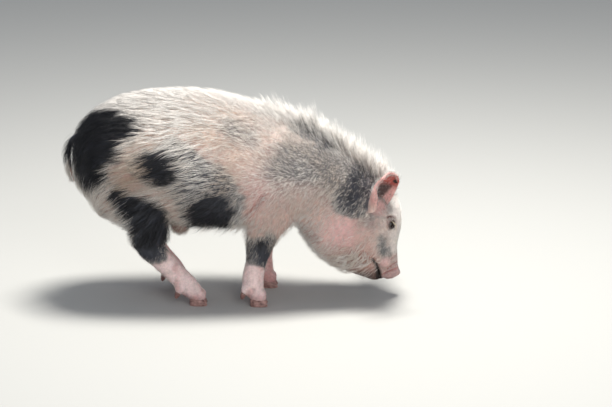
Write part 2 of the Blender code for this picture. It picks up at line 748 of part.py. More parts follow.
def tail_form(name, swollen=0.0):
    """A straight thin tail that drops into the cleft of the hams."""
    reach = [Vector(TAIL_ROOT) + Vector(step) for step in TAIL_REACH]
    shape = bmesh.new()
    rings = []
    for step in range(TAIL_STEPS + 1):
        share = step / TAIL_STEPS
        here = Vector(through_points(reach, share))
        later = Vector(through_points(reach, min(1.0, share + 0.5 / TAIL_STEPS)))
        sooner = Vector(through_points(reach, max(0.0, share - 0.5 / TAIL_STEPS)))
        forward = LEFT.cross((later - sooner).normalized()).normalized()
        radius = TAIL_RADIUS * (1.0 - TAIL_TAPER * share) + swollen
        rings.append(section(shape, here, LEFT, forward, (radius,) * 3, TAIL_STEPS, ROUND))
    return bridged(name, shape, rings)


def slab(name, cut):
    """A thin plate that parts two nodes."""
    place, facing, (high, wide) = cut
    facing = Vector(facing).normalized()
    upward = LEFT.cross(facing).normalized()
    shape = bmesh.new()
    bmesh.ops.create_cube(shape, size=1.0)
    bmesh.ops.scale(shape, vec=(CUT_WIDTH, 2 * wide, 2 * high), verts=shape.verts)
    bmesh.ops.transform(shape, matrix=frame_matrix(facing, LEFT, upward), verts=shape.verts)
    bmesh.ops.translate(shape, vec=place, verts=shape.verts)
    return object_from(name, shape)


def leg_slab(leg):
    """A slanting plate under the belly that parts a leg from the torso."""
    x, level, slope, half = FORE_CUT if leg.startswith("front") else HIND_CUT
    side = -1 if leg.endswith("right") else 1
    shape = bmesh.new()
    bmesh.ops.create_cube(shape, size=1.0)
    for vert in shape.verts:
        y = LEG_CUT_INNER if vert.co.y < 0 else LEG_CUT_OUTER
        z = level + slope * (y - LEG_CUT_INNER) + vert.co.z * CUT_WIDTH
        vert.co = Vector((x + vert.co.x * 2 * half, y * side, z))
    return object_from(f"{leg}_cut", shape)


def islands(body):
    """The closed surfaces that a mesh is made of, each as a list of face numbers."""
    mesh = body.data
    parent = list(range(len(mesh.vertices)))

    def root_of(item):
        while parent[item] != item:
            parent[item] = parent[parent[item]]
            item = parent[item]
        return item

    for edge in mesh.edges:
        first, second = root_of(edge.vertices[0]), root_of(edge.vertices[1])
        if first != second:
            parent[first] = second
    groups = {}
    for face in mesh.polygons:
        groups.setdefault(root_of(face.vertices[0]), []).append(face.index)
    return list(groups.values())


def volume_of(mesh, faces):
    total = 0.0
    for index in faces:
        corners = [mesh.vertices[item].co for item in mesh.polygons[index].vertices]
        for second, third in zip(corners[1:], corners[2:]):
            total += corners[0].dot(second.cross(third)) / 6.0
    return total


def keep_faces(name, body, faces):
    """A new object with some of a body's faces."""
    shape = bmesh.new()
    shape.from_mesh(body.data)
    shape.faces.ensure_lookup_table()
    wanted = set(faces)
    spare = [face for face in shape.faces if face.index not in wanted]
    bmesh.ops.delete(shape, geom=spare, context="FACES")
    return object_from(name, shape)


def parted(body, anchors):
    """Each node takes the largest closed surface whose middle is nearest to its anchor."""
    mesh = body.data
    best = {}
    for faces in islands(body):
        volume = volume_of(mesh, faces)
        middle = sum((mesh.polygons[item].center for item in faces), Vector()) / len(faces)
        name = min(anchors, key=lambda anchor: (Vector(anchors[anchor]) - middle).length)
        if volume > best.get(name, (0.0, None))[0]:
            best[name] = (volume, faces)
    nodes = {name: keep_faces(name, body, faces) for name, (_, faces) in best.items()}
    bpy.data.objects.remove(body, do_unlink=True)
    return nodes


ANCHORS = {
    "torso": (-0.080, 0.0, 0.270),
    "neck": (0.175, 0.0, 0.240),
    "head": (0.270, 0.0, 0.140),
    "leg_front_right": (0.045, -0.065, 0.070),
    "leg_front_left": (0.065, 0.065, 0.070),
    "leg_hind_right": (-0.140, -0.062, 0.090),
    "leg_hind_left": (-0.165, 0.062, 0.090),
}


def build():
    body = flesh()
    tree = tree_of(body)
    pockets = []
    openings = []
    lids = []
    nodes = {}
    for side, hand in (("right", -1), ("left", 1)):
        centre, turn = eye_frame(tree, hand)
        lid, cutters = lid_forms(side, centre, turn)
        lids.append(lid)
        openings.extend(cutters)
        nodes[f"eye_{side}"] = ball(f"eye_{side}", centre, (EYE_RADIUS,) * 3)
        nodes[f"ear_{side}"] = ear_shell(f"ear_{side}", side)
        pockets.append(ear_shell(f"ear_pocket_{side}", side, POCKET))
    nodes["snout"] = combined(snout_plate("snout"), nostrils(), "DIFFERENCE")
    pockets.append(grown(snout_plate("snout_pocket"), POCKET))
    nodes["tail"] = tail_form("tail")
    pockets.append(tail_form("tail_pocket", POCKET))
    for leg in STEP:
        for toe, word in ((-1, "right_toe"), (1, "left_toe")):
            nodes[f"hoof_{leg}_{word}"] = hoof(f"hoof_{leg}_{word}", leg, toe)
            nodes[f"dewclaw_{leg}_{word}"] = dewclaw(f"dewclaw_{leg}_{word}", leg, toe)
            pockets.append(hoof("hoof_pocket", leg, toe, POCKET))
            pockets.append(dewclaw("dewclaw_pocket", leg, toe, POCKET))
    combined(body, lids + locks(body, tree), "UNION", "MANIFOLD")
    cuts = [slab("fore_cut", CUT_FORE), slab("neck_cut", CUT_NECK), mouth_slit()]
    cuts.extend(leg_slab(leg) for leg in STEP)
    cuts.extend(cleft(leg) for leg in STEP)
    combined(body, openings + pockets + cuts, "DIFFERENCE", "MANIFOLD")
    nodes.update(parted(body, ANCHORS))
    return nodes


# Colour and roughness of each kind of node, by how its name starts
FINISHES = {
    ("torso", "neck", "head", "tail"): ((0.72, 0.60, 0.54), 0.6),
    ("leg", "ear", "snout"): ((0.66, 0.40, 0.36), 0.6),
    ("eye",): ((0.03, 0.02, 0.015), 0.15),
    ("hoof", "dewclaw"): ((0.46, 0.30, 0.22), 0.5),
}
SHARP_ANGLE = math.radians(40)


def paint(nodes):
    """Gives each node a material of its own, in the colour of the part."""
    for name, node in nodes.items():
        for starts, (colour, roughness) in FINISHES.items():
            if name.startswith(starts):
                node.data.materials.clear()
                node.data.materials.append(finish(name, colour, roughness))
        node.data.shade_smooth()
        node.data.set_sharp_from_angle(angle=SHARP_ANGLE)


def centre_on_floor(nodes):
    """Moves everything so that the origin is under the middle of the bounding box."""
    places = np.array([vert.co[:] for node in nodes.values() for vert in node.data.vertices])
    low, high = places.min(0), places.max(0)
    shift = Vector((-(low[0] + high[0]) / 2, -(low[1] + high[1]) / 2, 0.0))
    for node in nodes.values():
        node.data.transform(Matrix.Translation(shift))
    return shift


def main():
    clear_scene()
    nodes = build()
    paint(nodes)
    shift = centre_on_floor(nodes)
    print("moved by", [round(value, 5) for value in shift])
    print("triangles", sum(len(face.vertices) - 2 for node in nodes.values() for face in node.data.polygons))


main()
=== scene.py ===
# %% [markdown]
# # A small spotted pig, dressed over its solids
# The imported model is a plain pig: flesh, ears, eyes, snout, tail and hooves. This lesson gives it skin,
# eyes with lids, a bristly coat and horn. Everything is in metres, +Z up, and the pig faces +X.

# %% The frame
import math

import bmesh
import bpy
import numpy as np
from mathutils import Matrix, Vector
from mathutils.bvhtree import BVHTree
from mathutils.kdtree import KDTree


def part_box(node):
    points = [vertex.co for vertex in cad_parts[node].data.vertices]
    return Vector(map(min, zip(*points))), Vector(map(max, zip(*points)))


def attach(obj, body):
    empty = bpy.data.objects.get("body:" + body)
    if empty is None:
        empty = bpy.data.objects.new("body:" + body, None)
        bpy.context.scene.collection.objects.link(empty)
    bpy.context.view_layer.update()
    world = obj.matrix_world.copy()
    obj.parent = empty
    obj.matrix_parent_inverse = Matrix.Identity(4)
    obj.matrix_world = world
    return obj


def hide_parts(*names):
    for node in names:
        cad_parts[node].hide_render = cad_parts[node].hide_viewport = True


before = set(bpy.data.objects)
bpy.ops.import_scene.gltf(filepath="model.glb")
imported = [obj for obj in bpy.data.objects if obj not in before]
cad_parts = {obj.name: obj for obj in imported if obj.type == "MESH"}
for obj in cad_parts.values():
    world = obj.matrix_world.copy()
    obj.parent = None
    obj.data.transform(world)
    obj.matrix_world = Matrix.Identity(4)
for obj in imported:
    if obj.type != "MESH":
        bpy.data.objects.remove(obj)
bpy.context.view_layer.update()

# %% [markdown]
# ## Small helpers
# Colours are written as the sRGB hex values a painter would pick, and one function turns them to the
# linear numbers that the shader wants. One more function adds a node with its settings and its links.

# %% Colours and nodes
def colour(hex_value):
    """An sRGB hex colour as linear red, green, blue and alpha."""
    channels = [int(hex_value[i : i + 2], 16) / 255 for i in (1, 3, 5)]
    linear = [c / 12.92 if c <= 0.04045 else ((c + 0.055) / 1.055) ** 2.4 for c in channels]
    return (*linear, 1.0)


def add(tree, kind, settings=None, links=None):
    """Adds a node. Settings give its properties or sockets, and links join its sockets to others."""
    node = tree.nodes.new(kind)
    for name, value in (settings or {}).items():
        if isinstance(name, str) and hasattr(node, name):
            setattr(node, name, value)
        else:
            node.inputs[name].default_value = value
    for name, source in (links or {}).items():
        tree.links.new(source, node.inputs[name])
    return node


def finish_named(name, settings):
    """A new material, its node tree and its Principled shader, whose own sockets take the settings."""
    material = bpy.data.materials.new(name)
    material.use_nodes = True
    shader = material.node_tree.nodes["Principled BSDF"]
    for socket, value in settings.items():
        shader.inputs[socket].default_value = value
    return material, material.node_tree, shader


# %% [markdown]
# ## Numbers for many places at once
# A skin has tens of thousands of points, so each rule about place is worked out for all of them at once,
# in arrays. Ramps give soft edges, and a ripple of a few crossed waves gives clouds without a texture.

# %% Numbers for many places
RIPPLE_WAVES = 7


def ramp(low, high, values):
    """Goes from 0 to 1 as the values go from low to high, with soft ends."""
    share = np.clip((values - low) / (high - low), 0.0, 1.0)
    return share * share * (3.0 - 2.0 * share)


def unit(rows):
    """Each row at a length of one."""
    return rows / np.maximum(np.linalg.norm(rows, axis=1, keepdims=True), 1e-9)


def mixed(first, second, share):
    """Blends two colours or directions, or rows of them, by a share for each row."""
    return first * (1.0 - share[:, None]) + second * share[:, None]


def layered(base, layers):
    """Lays colours or directions over a base one after another, each by its share at each place."""
    for layer, share in layers:
        base = mixed(base, layer, share)
    return base


def tone(hex_value):
    return np.array(colour(hex_value)[:3])


def ripple(places, size, seed):
    """A soft, cloudy number between about -1 and 1, whose clouds are about size across."""
    waves = np.random.default_rng(seed)
    total = np.zeros(len(places))
    for _ in range(RIPPLE_WAVES):
        way = waves.normal(size=3)
        way *= waves.uniform(0.6, 1.6) * 2.0 * math.pi / (2.2 * size) / np.linalg.norm(way)
        total += np.sin(places @ way + waves.uniform(0.0, 2.0 * math.pi))
    return total / 3.0


# %% [markdown]
# ## The photographer's place
# The camera stands level with the pig's right side and a little above it. A long lens from five metres
# keeps the legs and the back in nearly the same scale.

# %% Camera
AIM = Vector((0.1392, 0.0001, 0.1860))
CAMERA_DISTANCE = 5.0
CAMERA_RISE = math.radians(15.0)
LENS = 151.5

camera = bpy.data.objects.new("camera", bpy.data.cameras.new("camera"))
bpy.context.scene.collection.objects.link(camera)
backwards = Vector((0.0, -math.cos(CAMERA_RISE), math.sin(CAMERA_RISE)))
camera.location = AIM + backwards * CAMERA_DISTANCE
camera.rotation_euler = (-backwards).to_track_quat("-Z", "Y").to_euler()
camera.data.lens = LENS
bpy.context.scene.camera = camera
print("camera at", [round(part, 3) for part in camera.location])

# %% [markdown]
# ## Floor and light
# A pale floor and a broad light from above and behind, as a bright sky gives: it whitens the bristles on
# the back. A weaker light from the front fills the side that the camera sees.

# %% Floor and lights
FLOOR_HALF = 14.0
SKY_COLOUR, SKY_STRENGTH = "#e3eaf5", 0.45
# The place, size, power in watts and tint of each lamp
LAMPS = {
    "sky_light": ((0.35, 0.15, 2.6), 0.8, 122.0, "#fffcf6"),
    "side_light": ((0.8, -2.8, 1.5), 1.4, 34.0, "#fffdfb"),
}

shape = bmesh.new()
bmesh.ops.create_grid(shape, x_segments=1, y_segments=1, size=FLOOR_HALF)
mesh = bpy.data.meshes.new("floor")
shape.to_mesh(mesh)
shape.free()
floor = bpy.data.objects.new("floor", mesh)
bpy.context.scene.collection.objects.link(floor)
paper, _, _ = finish_named("pale_studio_paper", {"Base Color": colour("#b4b4b1"), "Roughness": 0.9})
floor.data.materials.append(paper)

world = bpy.data.worlds.new("studio")
world.use_nodes = True
sky = world.node_tree.nodes["Background"].inputs
sky["Color"].default_value = colour(SKY_COLOUR)
sky["Strength"].default_value = SKY_STRENGTH
bpy.context.scene.world = world


def soft_light(name, place, size, power, tint):
    """A square light that looks at the pig."""
    lamp = bpy.data.objects.new(name, bpy.data.lights.new(name, "AREA"))
    lamp.data.shape = "SQUARE"
    lamp.data.size = size
    lamp.data.energy = power
    lamp.data.color = colour(tint)[:3]
    lamp.location = place
    lamp.rotation_euler = (AIM - Vector(place)).to_track_quat("-Z", "Y").to_euler()
    bpy.context.scene.collection.objects.link(lamp)


# The standard view keeps the bright whites and deep blacks of a snapshot in daylight
bpy.context.scene.view_settings.view_transform = "Standard"
for name, settings in LAMPS.items():
    soft_light(name, *settings)
print("lights", list(LAMPS))

# %% [markdown]
# ## The forms under the skin
# A body is easiest to shape as a loft: rings at named stations down the spine, and one leg at a time
# down its bones. The stations are the same as in the solids, so the skin lies where the flesh is. Each
# ring starts as a circle, is squared a little, and bridge_loops joins it to the next.

# %% Stations and joints
# From the stations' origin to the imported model's, which is under the middle of its box
SHIFT = Vector((0.00118, 0.00012, 0.0))
LEFT = Vector((0.0, 1.0, 0.0))
UP = Vector((0.0, 0.0, 1.0))
# The power that squares a section, from a true circle to the head's, which grow squarer as x grows
ROUND = 2.0
ROUNDNESS = 2.15
HEAD_ROUNDNESS = 2.7
HEAD_SQUARES = (0.20, 0.31)
RINGS_BETWEEN = 4
TRUNK_POINTS = 44
LEG_POINTS = 24

# Top of the back, underside, half width, and how far up the section is widest
STATIONS = {
    "tail_head": ((-0.303, 0.309), (-0.304, 0.243), 0.038, 0.50),
    "rump": ((-0.287, 0.340), (-0.287, 0.214), 0.076, 0.50),
    "croup": ((-0.252, 0.370), (-0.249, 0.189), 0.101, 0.48),
    "hips": ((-0.205, 0.391), (-0.200, 0.174), 0.117, 0.46),
    "loin": ((-0.138, 0.401), (-0.140, 0.161), 0.124, 0.44),
    "belly": ((-0.065, 0.401), (-0.072, 0.153), 0.128, 0.42),
    "ribs": ((0.000, 0.389), (-0.008, 0.150), 0.126, 0.42),
    "withers": ((0.060, 0.372), (0.050, 0.149), 0.116, 0.44),
    "shoulder": ((0.120, 0.350), (0.090, 0.151), 0.106, 0.46),
    "neck": ((0.174, 0.322), (0.117, 0.151), 0.098, 0.46),
    "nape": ((0.222, 0.291), (0.130, 0.138), 0.093, 0.42),
    "jowl": ((0.260, 0.261), (0.142, 0.118), 0.091, 0.36),
    "poll": ((0.292, 0.231), (0.156, 0.098), 0.086, 0.36),
    "brow": ((0.316, 0.196), (0.176, 0.080), 0.076, 0.42),
    "eyes": ((0.323, 0.160), (0.200, 0.064), 0.063, 0.48),
    "cheek": ((0.320, 0.125), (0.225, 0.051), 0.048, 0.48),
    "muzzle": ((0.317, 0.094), (0.246, 0.042), 0.034, 0.50),
    "lips": ((0.317, 0.069), (0.259, 0.037), 0.0270, 0.50),
    "nose": ((0.319, 0.052), (0.268, 0.033), 0.0230, 0.50),
}

# Centre of each joint on the right side, half length fore and aft, half width
FORELEG = {
    "shoulder": ((0.078, 0.062, 0.240), 0.062, 0.040),
    "upper_arm": ((0.068, 0.068, 0.185), 0.048, 0.036),
    "elbow": ((0.056, 0.068, 0.148), 0.033, 0.028),
    "forearm": ((0.048, 0.066, 0.118), 0.0260, 0.0225),
    "knee": ((0.042, 0.064, 0.087), 0.0200, 0.0205),
    "cannon": ((0.0365, 0.064, 0.062), 0.0205, 0.0180),
    "fetlock": ((0.036, 0.064, 0.038), 0.0210, 0.0200),
    "pastern": ((0.043, 0.064, 0.020), 0.0160, 0.0180),
}
HINDLEG = {
    "hip": ((-0.200, 0.048, 0.295), 0.080, 0.052),
    "ham": ((-0.197, 0.060, 0.245), 0.084, 0.054),
    "thigh": ((-0.176, 0.066, 0.200), 0.060, 0.046),
    "gaskin": ((-0.163, 0.066, 0.158), 0.038, 0.033),
    "hock": ((-0.162, 0.063, 0.120), 0.0290, 0.0225),
    "shank": ((-0.144, 0.061, 0.095), 0.0220, 0.0190),
    "cannon": ((-0.116, 0.060, 0.065), 0.0198, 0.0175),
    "fetlock": ((-0.091, 0.059, 0.038), 0.0205, 0.0190),
    "pastern": ((-0.074, 0.058, 0.020), 0.0160, 0.0180),
}
STEP = {"front_right": 0.0, "front_left": 0.020, "hind_right": 0.0, "hind_left": -0.038}


# %% Lofting
def piece_from(name, shape):
    """Makes a bmesh an object, with its faces pointing out."""
    bmesh.ops.recalc_face_normals(shape, faces=shape.faces)
    if shape.calc_volume(signed=True) < 0:
        bmesh.ops.reverse_faces(shape, faces=shape.faces)
    made = bpy.data.meshes.new(name)
    shape.to_mesh(made)
    shape.free()
    piece = bpy.data.objects.new(name, made)
    bpy.context.scene.collection.objects.link(piece)
    return piece


def through_points(points, share):
    """A smooth curve through the rows of points; share runs from 0 to 1."""
    rows = np.array(points, float)
    place = share * (len(rows) - 1)
    first = min(int(place), len(rows) - 2)
    t = place - first
    before, after = rows[max(first - 1, 0)], rows[min(first + 2, len(rows) - 1)]
    here, there = rows[first], rows[first + 1]
    slope, bend = there - before, 2 * before - 5 * here + 4 * there - after
    return 0.5 * (2 * here + slope * t + bend * t * t + (3 * here - before - 3 * there + after) * t**3)


def section(shape, centre, across, upward, halves, points, roundness=ROUNDNESS):
    """One closed ring: a circle squared to its roundness, at its half width and reach above and below."""
    ring = bmesh.ops.create_circle(shape, segments=points, radius=1.0)["verts"]
    for vert in ring:
        turn = math.atan2(vert.co.y, vert.co.x)
        side = math.copysign(abs(math.cos(turn)) ** (2.0 / roundness), math.cos(turn)) * halves[0]
        rise = math.copysign(abs(math.sin(turn)) ** (2.0 / roundness), math.sin(turn))
        rise *= halves[1] if rise > 0 else halves[2]
        vert.co = centre + across * side + upward * rise
    return [edge for edge in shape.edges if edge.verts[0] in ring and edge.verts[1] in ring]


def bridged(name, shape, rings):
    """Joins rings into one skin, closes both ends and makes it an object."""
    for near, far in zip(rings, rings[1:]):
        bmesh.ops.bridge_loops(shape, edges=near + far)
    bmesh.ops.contextual_create(shape, geom=rings[0])
    bmesh.ops.contextual_create(shape, geom=rings[-1])
    return piece_from(name, shape)


def ball(name, centre, radii, turn=None, segments=24):
    """An oval ball, turned by a matrix where one is given."""
    shape = bmesh.new()
    bmesh.ops.create_uvsphere(shape, u_segments=segments, v_segments=segments // 2, radius=1.0)
    bmesh.ops.scale(shape, vec=radii, verts=shape.verts)
    if turn is not None:
        bmesh.ops.transform(shape, matrix=turn, verts=shape.verts)
    bmesh.ops.translate(shape, vec=centre, verts=shape.verts)
    return piece_from(name, shape)


# %% Trunk and legs
def trunk_form():
    """Torso, neck and head as one loft; the head's sections are squarer."""
    rows = [(*top, *low, width, level) for top, low, width, level in STATIONS.values()]
    count = (len(rows) - 1) * RINGS_BETWEEN
    shape = bmesh.new()
    rings = []
    for step in range(count + 1):
        row = through_points(rows, step / count)
        top, low = Vector((row[0], 0.0, row[1])), Vector((row[2], 0.0, row[3]))
        height = (top - low).length
        upward = (top - low) / height
        halves = (row[4], height * (1.0 - row[5]), height * row[5])
        roundness = ROUNDNESS + float(ramp(*HEAD_SQUARES, row[0])) * (HEAD_ROUNDNESS - ROUNDNESS)
        centre = low + upward * halves[2]
        rings.append(section(shape, centre, LEFT, upward, halves, TRUNK_POINTS, roundness))
    return bridged("trunk_form", shape, rings)


def leg_rows(leg):
    """Joint centres and half sizes of one leg, with its foot stepped ahead of the hip."""
    joints = FORELEG if leg.startswith("front") else HINDLEG
    side = -1 if leg.endswith("right") else 1
    top = max(place[2] for place, _, _ in joints.values())
    rows = {}
    for joint, (place, length, width) in joints.items():
        lean = STEP[leg] * (1.0 - place[2] / top)
        rows[joint] = (place[0] + lean, place[1] * side, place[2], length, width)
    return rows


def leg_form(leg):
    """One leg, lofted from hip or shoulder to pastern."""
    rows = list(leg_rows(leg).values())
    count = (len(rows) - 1) * RINGS_BETWEEN
    shape = bmesh.new()
    rings = []
    for step in range(count + 1):
        row = through_points(rows, step / count)
        later = through_points(rows, min(1.0, (step + 0.5) / count))
        sooner = through_points(rows, max(0.0, (step - 0.5) / count))
        down = Vector(later[:3] - sooner[:3]).normalized()
        forward = LEFT.cross(down).normalized()
        rings.append(section(shape, Vector(row[:3]), LEFT, forward, (row[4], row[3], row[3]), LEG_POINTS))
    return bridged(f"{leg}_form", shape, rings)


# The flesh of a main toe from its pastern, of the small digit from its fetlock, and of the sheath
TOE_FLESH = ((0.0040, 0.0098, -0.0010), (0.0165, 0.0100, 0.0125))
DIGIT_FLESH = ((-0.0145, 0.0135, -0.0040), (0.0098, 0.0088, 0.0120))
SHEATH = ((-0.106, 0.000, 0.147), (0.020, 0.013, 0.021))


def toe_forms(leg):
    """Two main toes in front and two small ones behind."""
    rows = leg_rows(leg)
    forms = []
    for side in (-1, 1):
        for joint, (offset, radii) in (("pastern", TOE_FLESH), ("fetlock", DIGIT_FLESH)):
            place = Vector(rows[joint][:3]) + Vector((offset[0], side * offset[1], offset[2]))
            forms.append(ball(f"{leg}_toe", place, radii))
    return forms


# %% [markdown]
# ## The snout's disc and the tail
# They are flesh too, so they are made as forms of their own and melted into the same skin. The snout
# is a flat oval disc that faces the ground, and the tail hangs down from the rump.

# %% Snout and tail forms
SNOUT_CENTRE = Vector((0.3050, 0.0, 0.0440))
SNOUT_FACING = Vector((0.316, 0.0, -0.949))
SNOUT_HALF = (0.0230, 0.0160)
SNOUT_RINGS = ((-0.0100, 0.72), (-0.0035, 0.88), (-0.0005, 1.0), (0.0028, 1.0), (0.0050, 0.92))
SNOUT_POINTS = 32
TAIL_ROOT = Vector((-0.286, 0.000, 0.320))
TAIL_REACH = (
    (0.0, 0.0, 0.0),
    (-0.022, 0.000, -0.002),
    (-0.034, 0.002, -0.024),
    (-0.033, 0.006, -0.058),
    (-0.025, 0.010, -0.096),
)
TAIL_RADIUS = 0.0080
TAIL_TAPER = 0.55
TAIL_STEPS = 16
TAIL_POINTS = 14


def snout_form():
    """The disc at the end of the nose."""
    upward = SNOUT_FACING.cross(LEFT) * -1.0
    shape = bmesh.new()
    rings = []
    for depth, share in SNOUT_RINGS:
        halves = (SNOUT_HALF[0] * share, SNOUT_HALF[1] * share, SNOUT_HALF[1] * share)
        centre = SNOUT_CENTRE + SNOUT_FACING * depth
        rings.append(section(shape, centre, LEFT, upward, halves, SNOUT_POINTS))
    return bridged("snout_form", shape, rings)


def tail_place(share):
    """Where the tail's middle line passes, from its root at 0 to its end at 1."""
    return TAIL_ROOT + Vector(through_points(TAIL_REACH, share))


def tail_form():
    """A thin straight tail that drops into the cleft of the hams."""
    shape = bmesh.new()
    rings = []
    for step in range(TAIL_STEPS + 1):
        share = step / TAIL_STEPS
        down = tail_place(min(1.0, share + 0.03)) - tail_place(max(0.0, share - 0.03))
        forward = LEFT.cross(down.normalized()).normalized()
        radius = TAIL_RADIUS * (1.0 - TAIL_TAPER * share)
        rings.append(section(shape, tail_place(share), LEFT, forward, (radius,) * 3, TAIL_POINTS, ROUND))
    return bridged("tail_form", shape, rings)


# %% [markdown]
# ## Melting the forms into one skin
# A voxel remesh fuses the overlapping forms, and smoothing rounds where they meet, as skin does over
# muscle. Voxels of 3 mm keep the toes and lids. The eyes' places come from the frame's own eyeballs.

# %% Fused skin
VOXEL = 0.0031
FLESH_SMOOTHING = 9


def evaluated(piece):
    """Makes a piece's modifiers permanent."""
    graph = bpy.context.evaluated_depsgraph_get()
    made = bpy.data.meshes.new_from_object(piece.evaluated_get(graph))
    piece.modifiers.clear()
    piece.data = made
    return piece


def joined(name, pieces):
    """Puts pieces into one mesh and removes them."""
    shape = bmesh.new()
    for piece in pieces:
        shape.from_mesh(piece.data)
        bpy.data.objects.remove(piece, do_unlink=True)
    return piece_from(name, shape)


def melted(piece, rounds):
    """Fuses overlapping forms into one surface and smooths it."""
    melt = piece.modifiers.new("melt", "REMESH")
    melt.mode = "VOXEL"
    melt.voxel_size = VOXEL
    soften = piece.modifiers.new("soften", "SMOOTH")
    soften.factor = 0.5
    soften.iterations = rounds
    return evaluated(piece)


def points_of(mesh):
    """A mesh's points, and the way out of its surface at each, as arrays."""
    count = len(mesh.vertices)
    places, outward = np.empty(count * 3), np.empty(count * 3)
    mesh.vertices.foreach_get("co", places)
    mesh.vertex_normals.foreach_get("vector", outward)
    return places.reshape(-1, 3), outward.reshape(-1, 3)


def put_points(piece, places):
    """Gives a piece's points new places."""
    piece.data.vertices.foreach_set("co", places.ravel())
    piece.data.update()
    return piece


def surface_of(piece):
    """A search tree over a piece's surface."""
    shape = bmesh.new()
    shape.from_mesh(piece.data)
    tree = BVHTree.FromBMesh(shape)
    shape.free()
    return tree


def turned(across, along, facing):
    """A turn whose axes are the three directions given."""
    return Matrix((across, along, facing)).transposed().to_4x4()


eyes = {}
for side, hand in (("right", -1), ("left", 1)):
    low, high = (Vector(corner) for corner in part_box(f"eye_{side}"))
    eyes[side] = ((low + high) / 2 - SHIFT, (high.z - low.z) / 2)

forms = [trunk_form(), ball("sheath_form", *SHEATH), snout_form(), tail_form()]
for leg in STEP:
    forms.append(leg_form(leg))
    forms.extend(toe_forms(leg))
skin = melted(joined("skin", forms), FLESH_SMOOTHING)
print("fused skin has", len(skin.data.vertices), "points")

# %% [markdown]
# ## Pushing the skin about
# Muscle, bone and fat show as soft swellings. Each is a centre, a reach and a push, as of a thumb in
# clay.

# %% Swellings
SWELLS = {
    "brow_ridge": ((0.300, 0.046, 0.186), 0.026, (0.003, 0.004, 0.001)),
    "eye_hollow": ((0.306, 0.046, 0.150), 0.020, (-0.002, -0.0035, 0.0)),
    "cheek_bone": ((0.262, 0.070, 0.150), 0.040, (0.0, 0.007, 0.0)),
    "tusk_lip": ((0.291, 0.034, 0.077), 0.015, (0.002, 0.0095, 0.0)),
    "snout_rim": ((0.328, 0.000, 0.046), 0.020, (0.005, 0.0, -0.001)),
    "under_lip": ((0.268, 0.026, 0.056), 0.016, (-0.001, 0.003, 0.0)),
    "snout_saddle": ((0.330, 0.000, 0.110), 0.040, (-0.005, 0.0, 0.0)),
    "shoulder_blade": ((0.085, 0.110, 0.235), 0.085, (0.0, 0.008, 0.0)),
    "flank_hollow": ((-0.110, 0.120, 0.200), 0.060, (0.0, -0.007, 0.0)),
    "point_of_hock": ((-0.191, 0.063, 0.128), 0.022, (-0.006, 0.0, 0.002)),
}


def swelled(piece):
    """Pushes each swelling out, on both sides where it isn't in the middle."""
    places, _ = points_of(piece.data)
    for centre, reach, push in SWELLS.values():
        for side in (-1, 1) if centre[1] else (1,):
            mirror = np.array((1.0, side, 1.0))
            away = np.linalg.norm(places - np.array(centre) * mirror, axis=1)
            places += np.array(push) * mirror * ramp(0.0, 1.0, 1.0 - away / reach)[:, None]
    return put_points(piece, places)


skin = swelled(skin)
print("swellings", list(SWELLS))

# %% [markdown]
# ## Lids
# Each lid starts as a ball of skin over the eye. It is melted into the head, which is then subdivided
# around eyes and snout, so that folds of two millimetres have enough faces to bend.

# %% Lid forms
LID_THICKNESS = 0.0042
LID_STRETCH = 1.20
LID_OPENING = (0.0098, 0.0052)
LID_SLANT = math.radians(-50)
LID_SEGMENTS = 40
LID_SMOOTHING = 2
# Where the eye is seen in profile, from a place well outside the head
EYE_SIGHT = (0.302, 0.160)
OUTSIDE = 0.2
FINE_REACH = {"eye": 0.030, "snout": 0.046}
FINE_SMOOTHING = 3


def looking_out(surface, hand):
    """The way the skin faces at the eye, as a turn whose third axis looks out."""
    outside = Vector((EYE_SIGHT[0], hand * OUTSIDE, EYE_SIGHT[1]))
    _, facing, _, _ = surface.ray_cast(outside, Vector((0.0, -hand, 0.0)))
    across = Matrix.Rotation(LID_SLANT * -hand, 3, facing) @ UP.cross(facing).normalized()
    return turned(across, facing.cross(across), facing)


def refined(piece, centres):
    """Halves the edges near each centre and smooths them."""
    shape = bmesh.new()
    shape.from_mesh(piece.data)
    near = [e for e in shape.edges if any((e.verts[0].co - c).length < reach for c, reach in centres)]
    made = bmesh.ops.subdivide_edges(shape, edges=near, cuts=1, use_grid_fill=True)
    fresh = list({item for item in made["geom"] if isinstance(item, bmesh.types.BMVert)})
    axes = {f"use_axis_{axis}": True for axis in "xyz"}
    for _ in range(FINE_SMOOTHING):
        bmesh.ops.smooth_vert(shape, verts=fresh, factor=0.5, **axes)
    piece.data.clear_geometry()
    shape.to_mesh(piece.data)
    shape.free()
    return piece


surface = surface_of(skin)
looks = {"right": looking_out(surface, -1), "left": looking_out(surface, 1)}
lids = []
for side, (centre, radius) in eyes.items():
    outer = radius + LID_THICKNESS
    lid_radii = (outer * LID_STRETCH, outer, outer)
    lids.append(ball(f"lids_{side}", centre, lid_radii, looks[side], LID_SEGMENTS))
skin = melted(joined("skin", [skin] + lids), LID_SMOOTHING)
fine_places = [(centre, FINE_REACH["eye"]) for centre, _ in eyes.values()]
skin = refined(skin, fine_places + [(SNOUT_CENTRE, FINE_REACH["snout"])])
print("skin has", len(skin.data.vertices), "points")

# %% [markdown]
# ## Creases
# A crease is a path that the skin sinks along, with a low roll on either side. They run behind the
# elbow, over the snout and at the corner of the mouth. Round each eye the folds are rings instead.

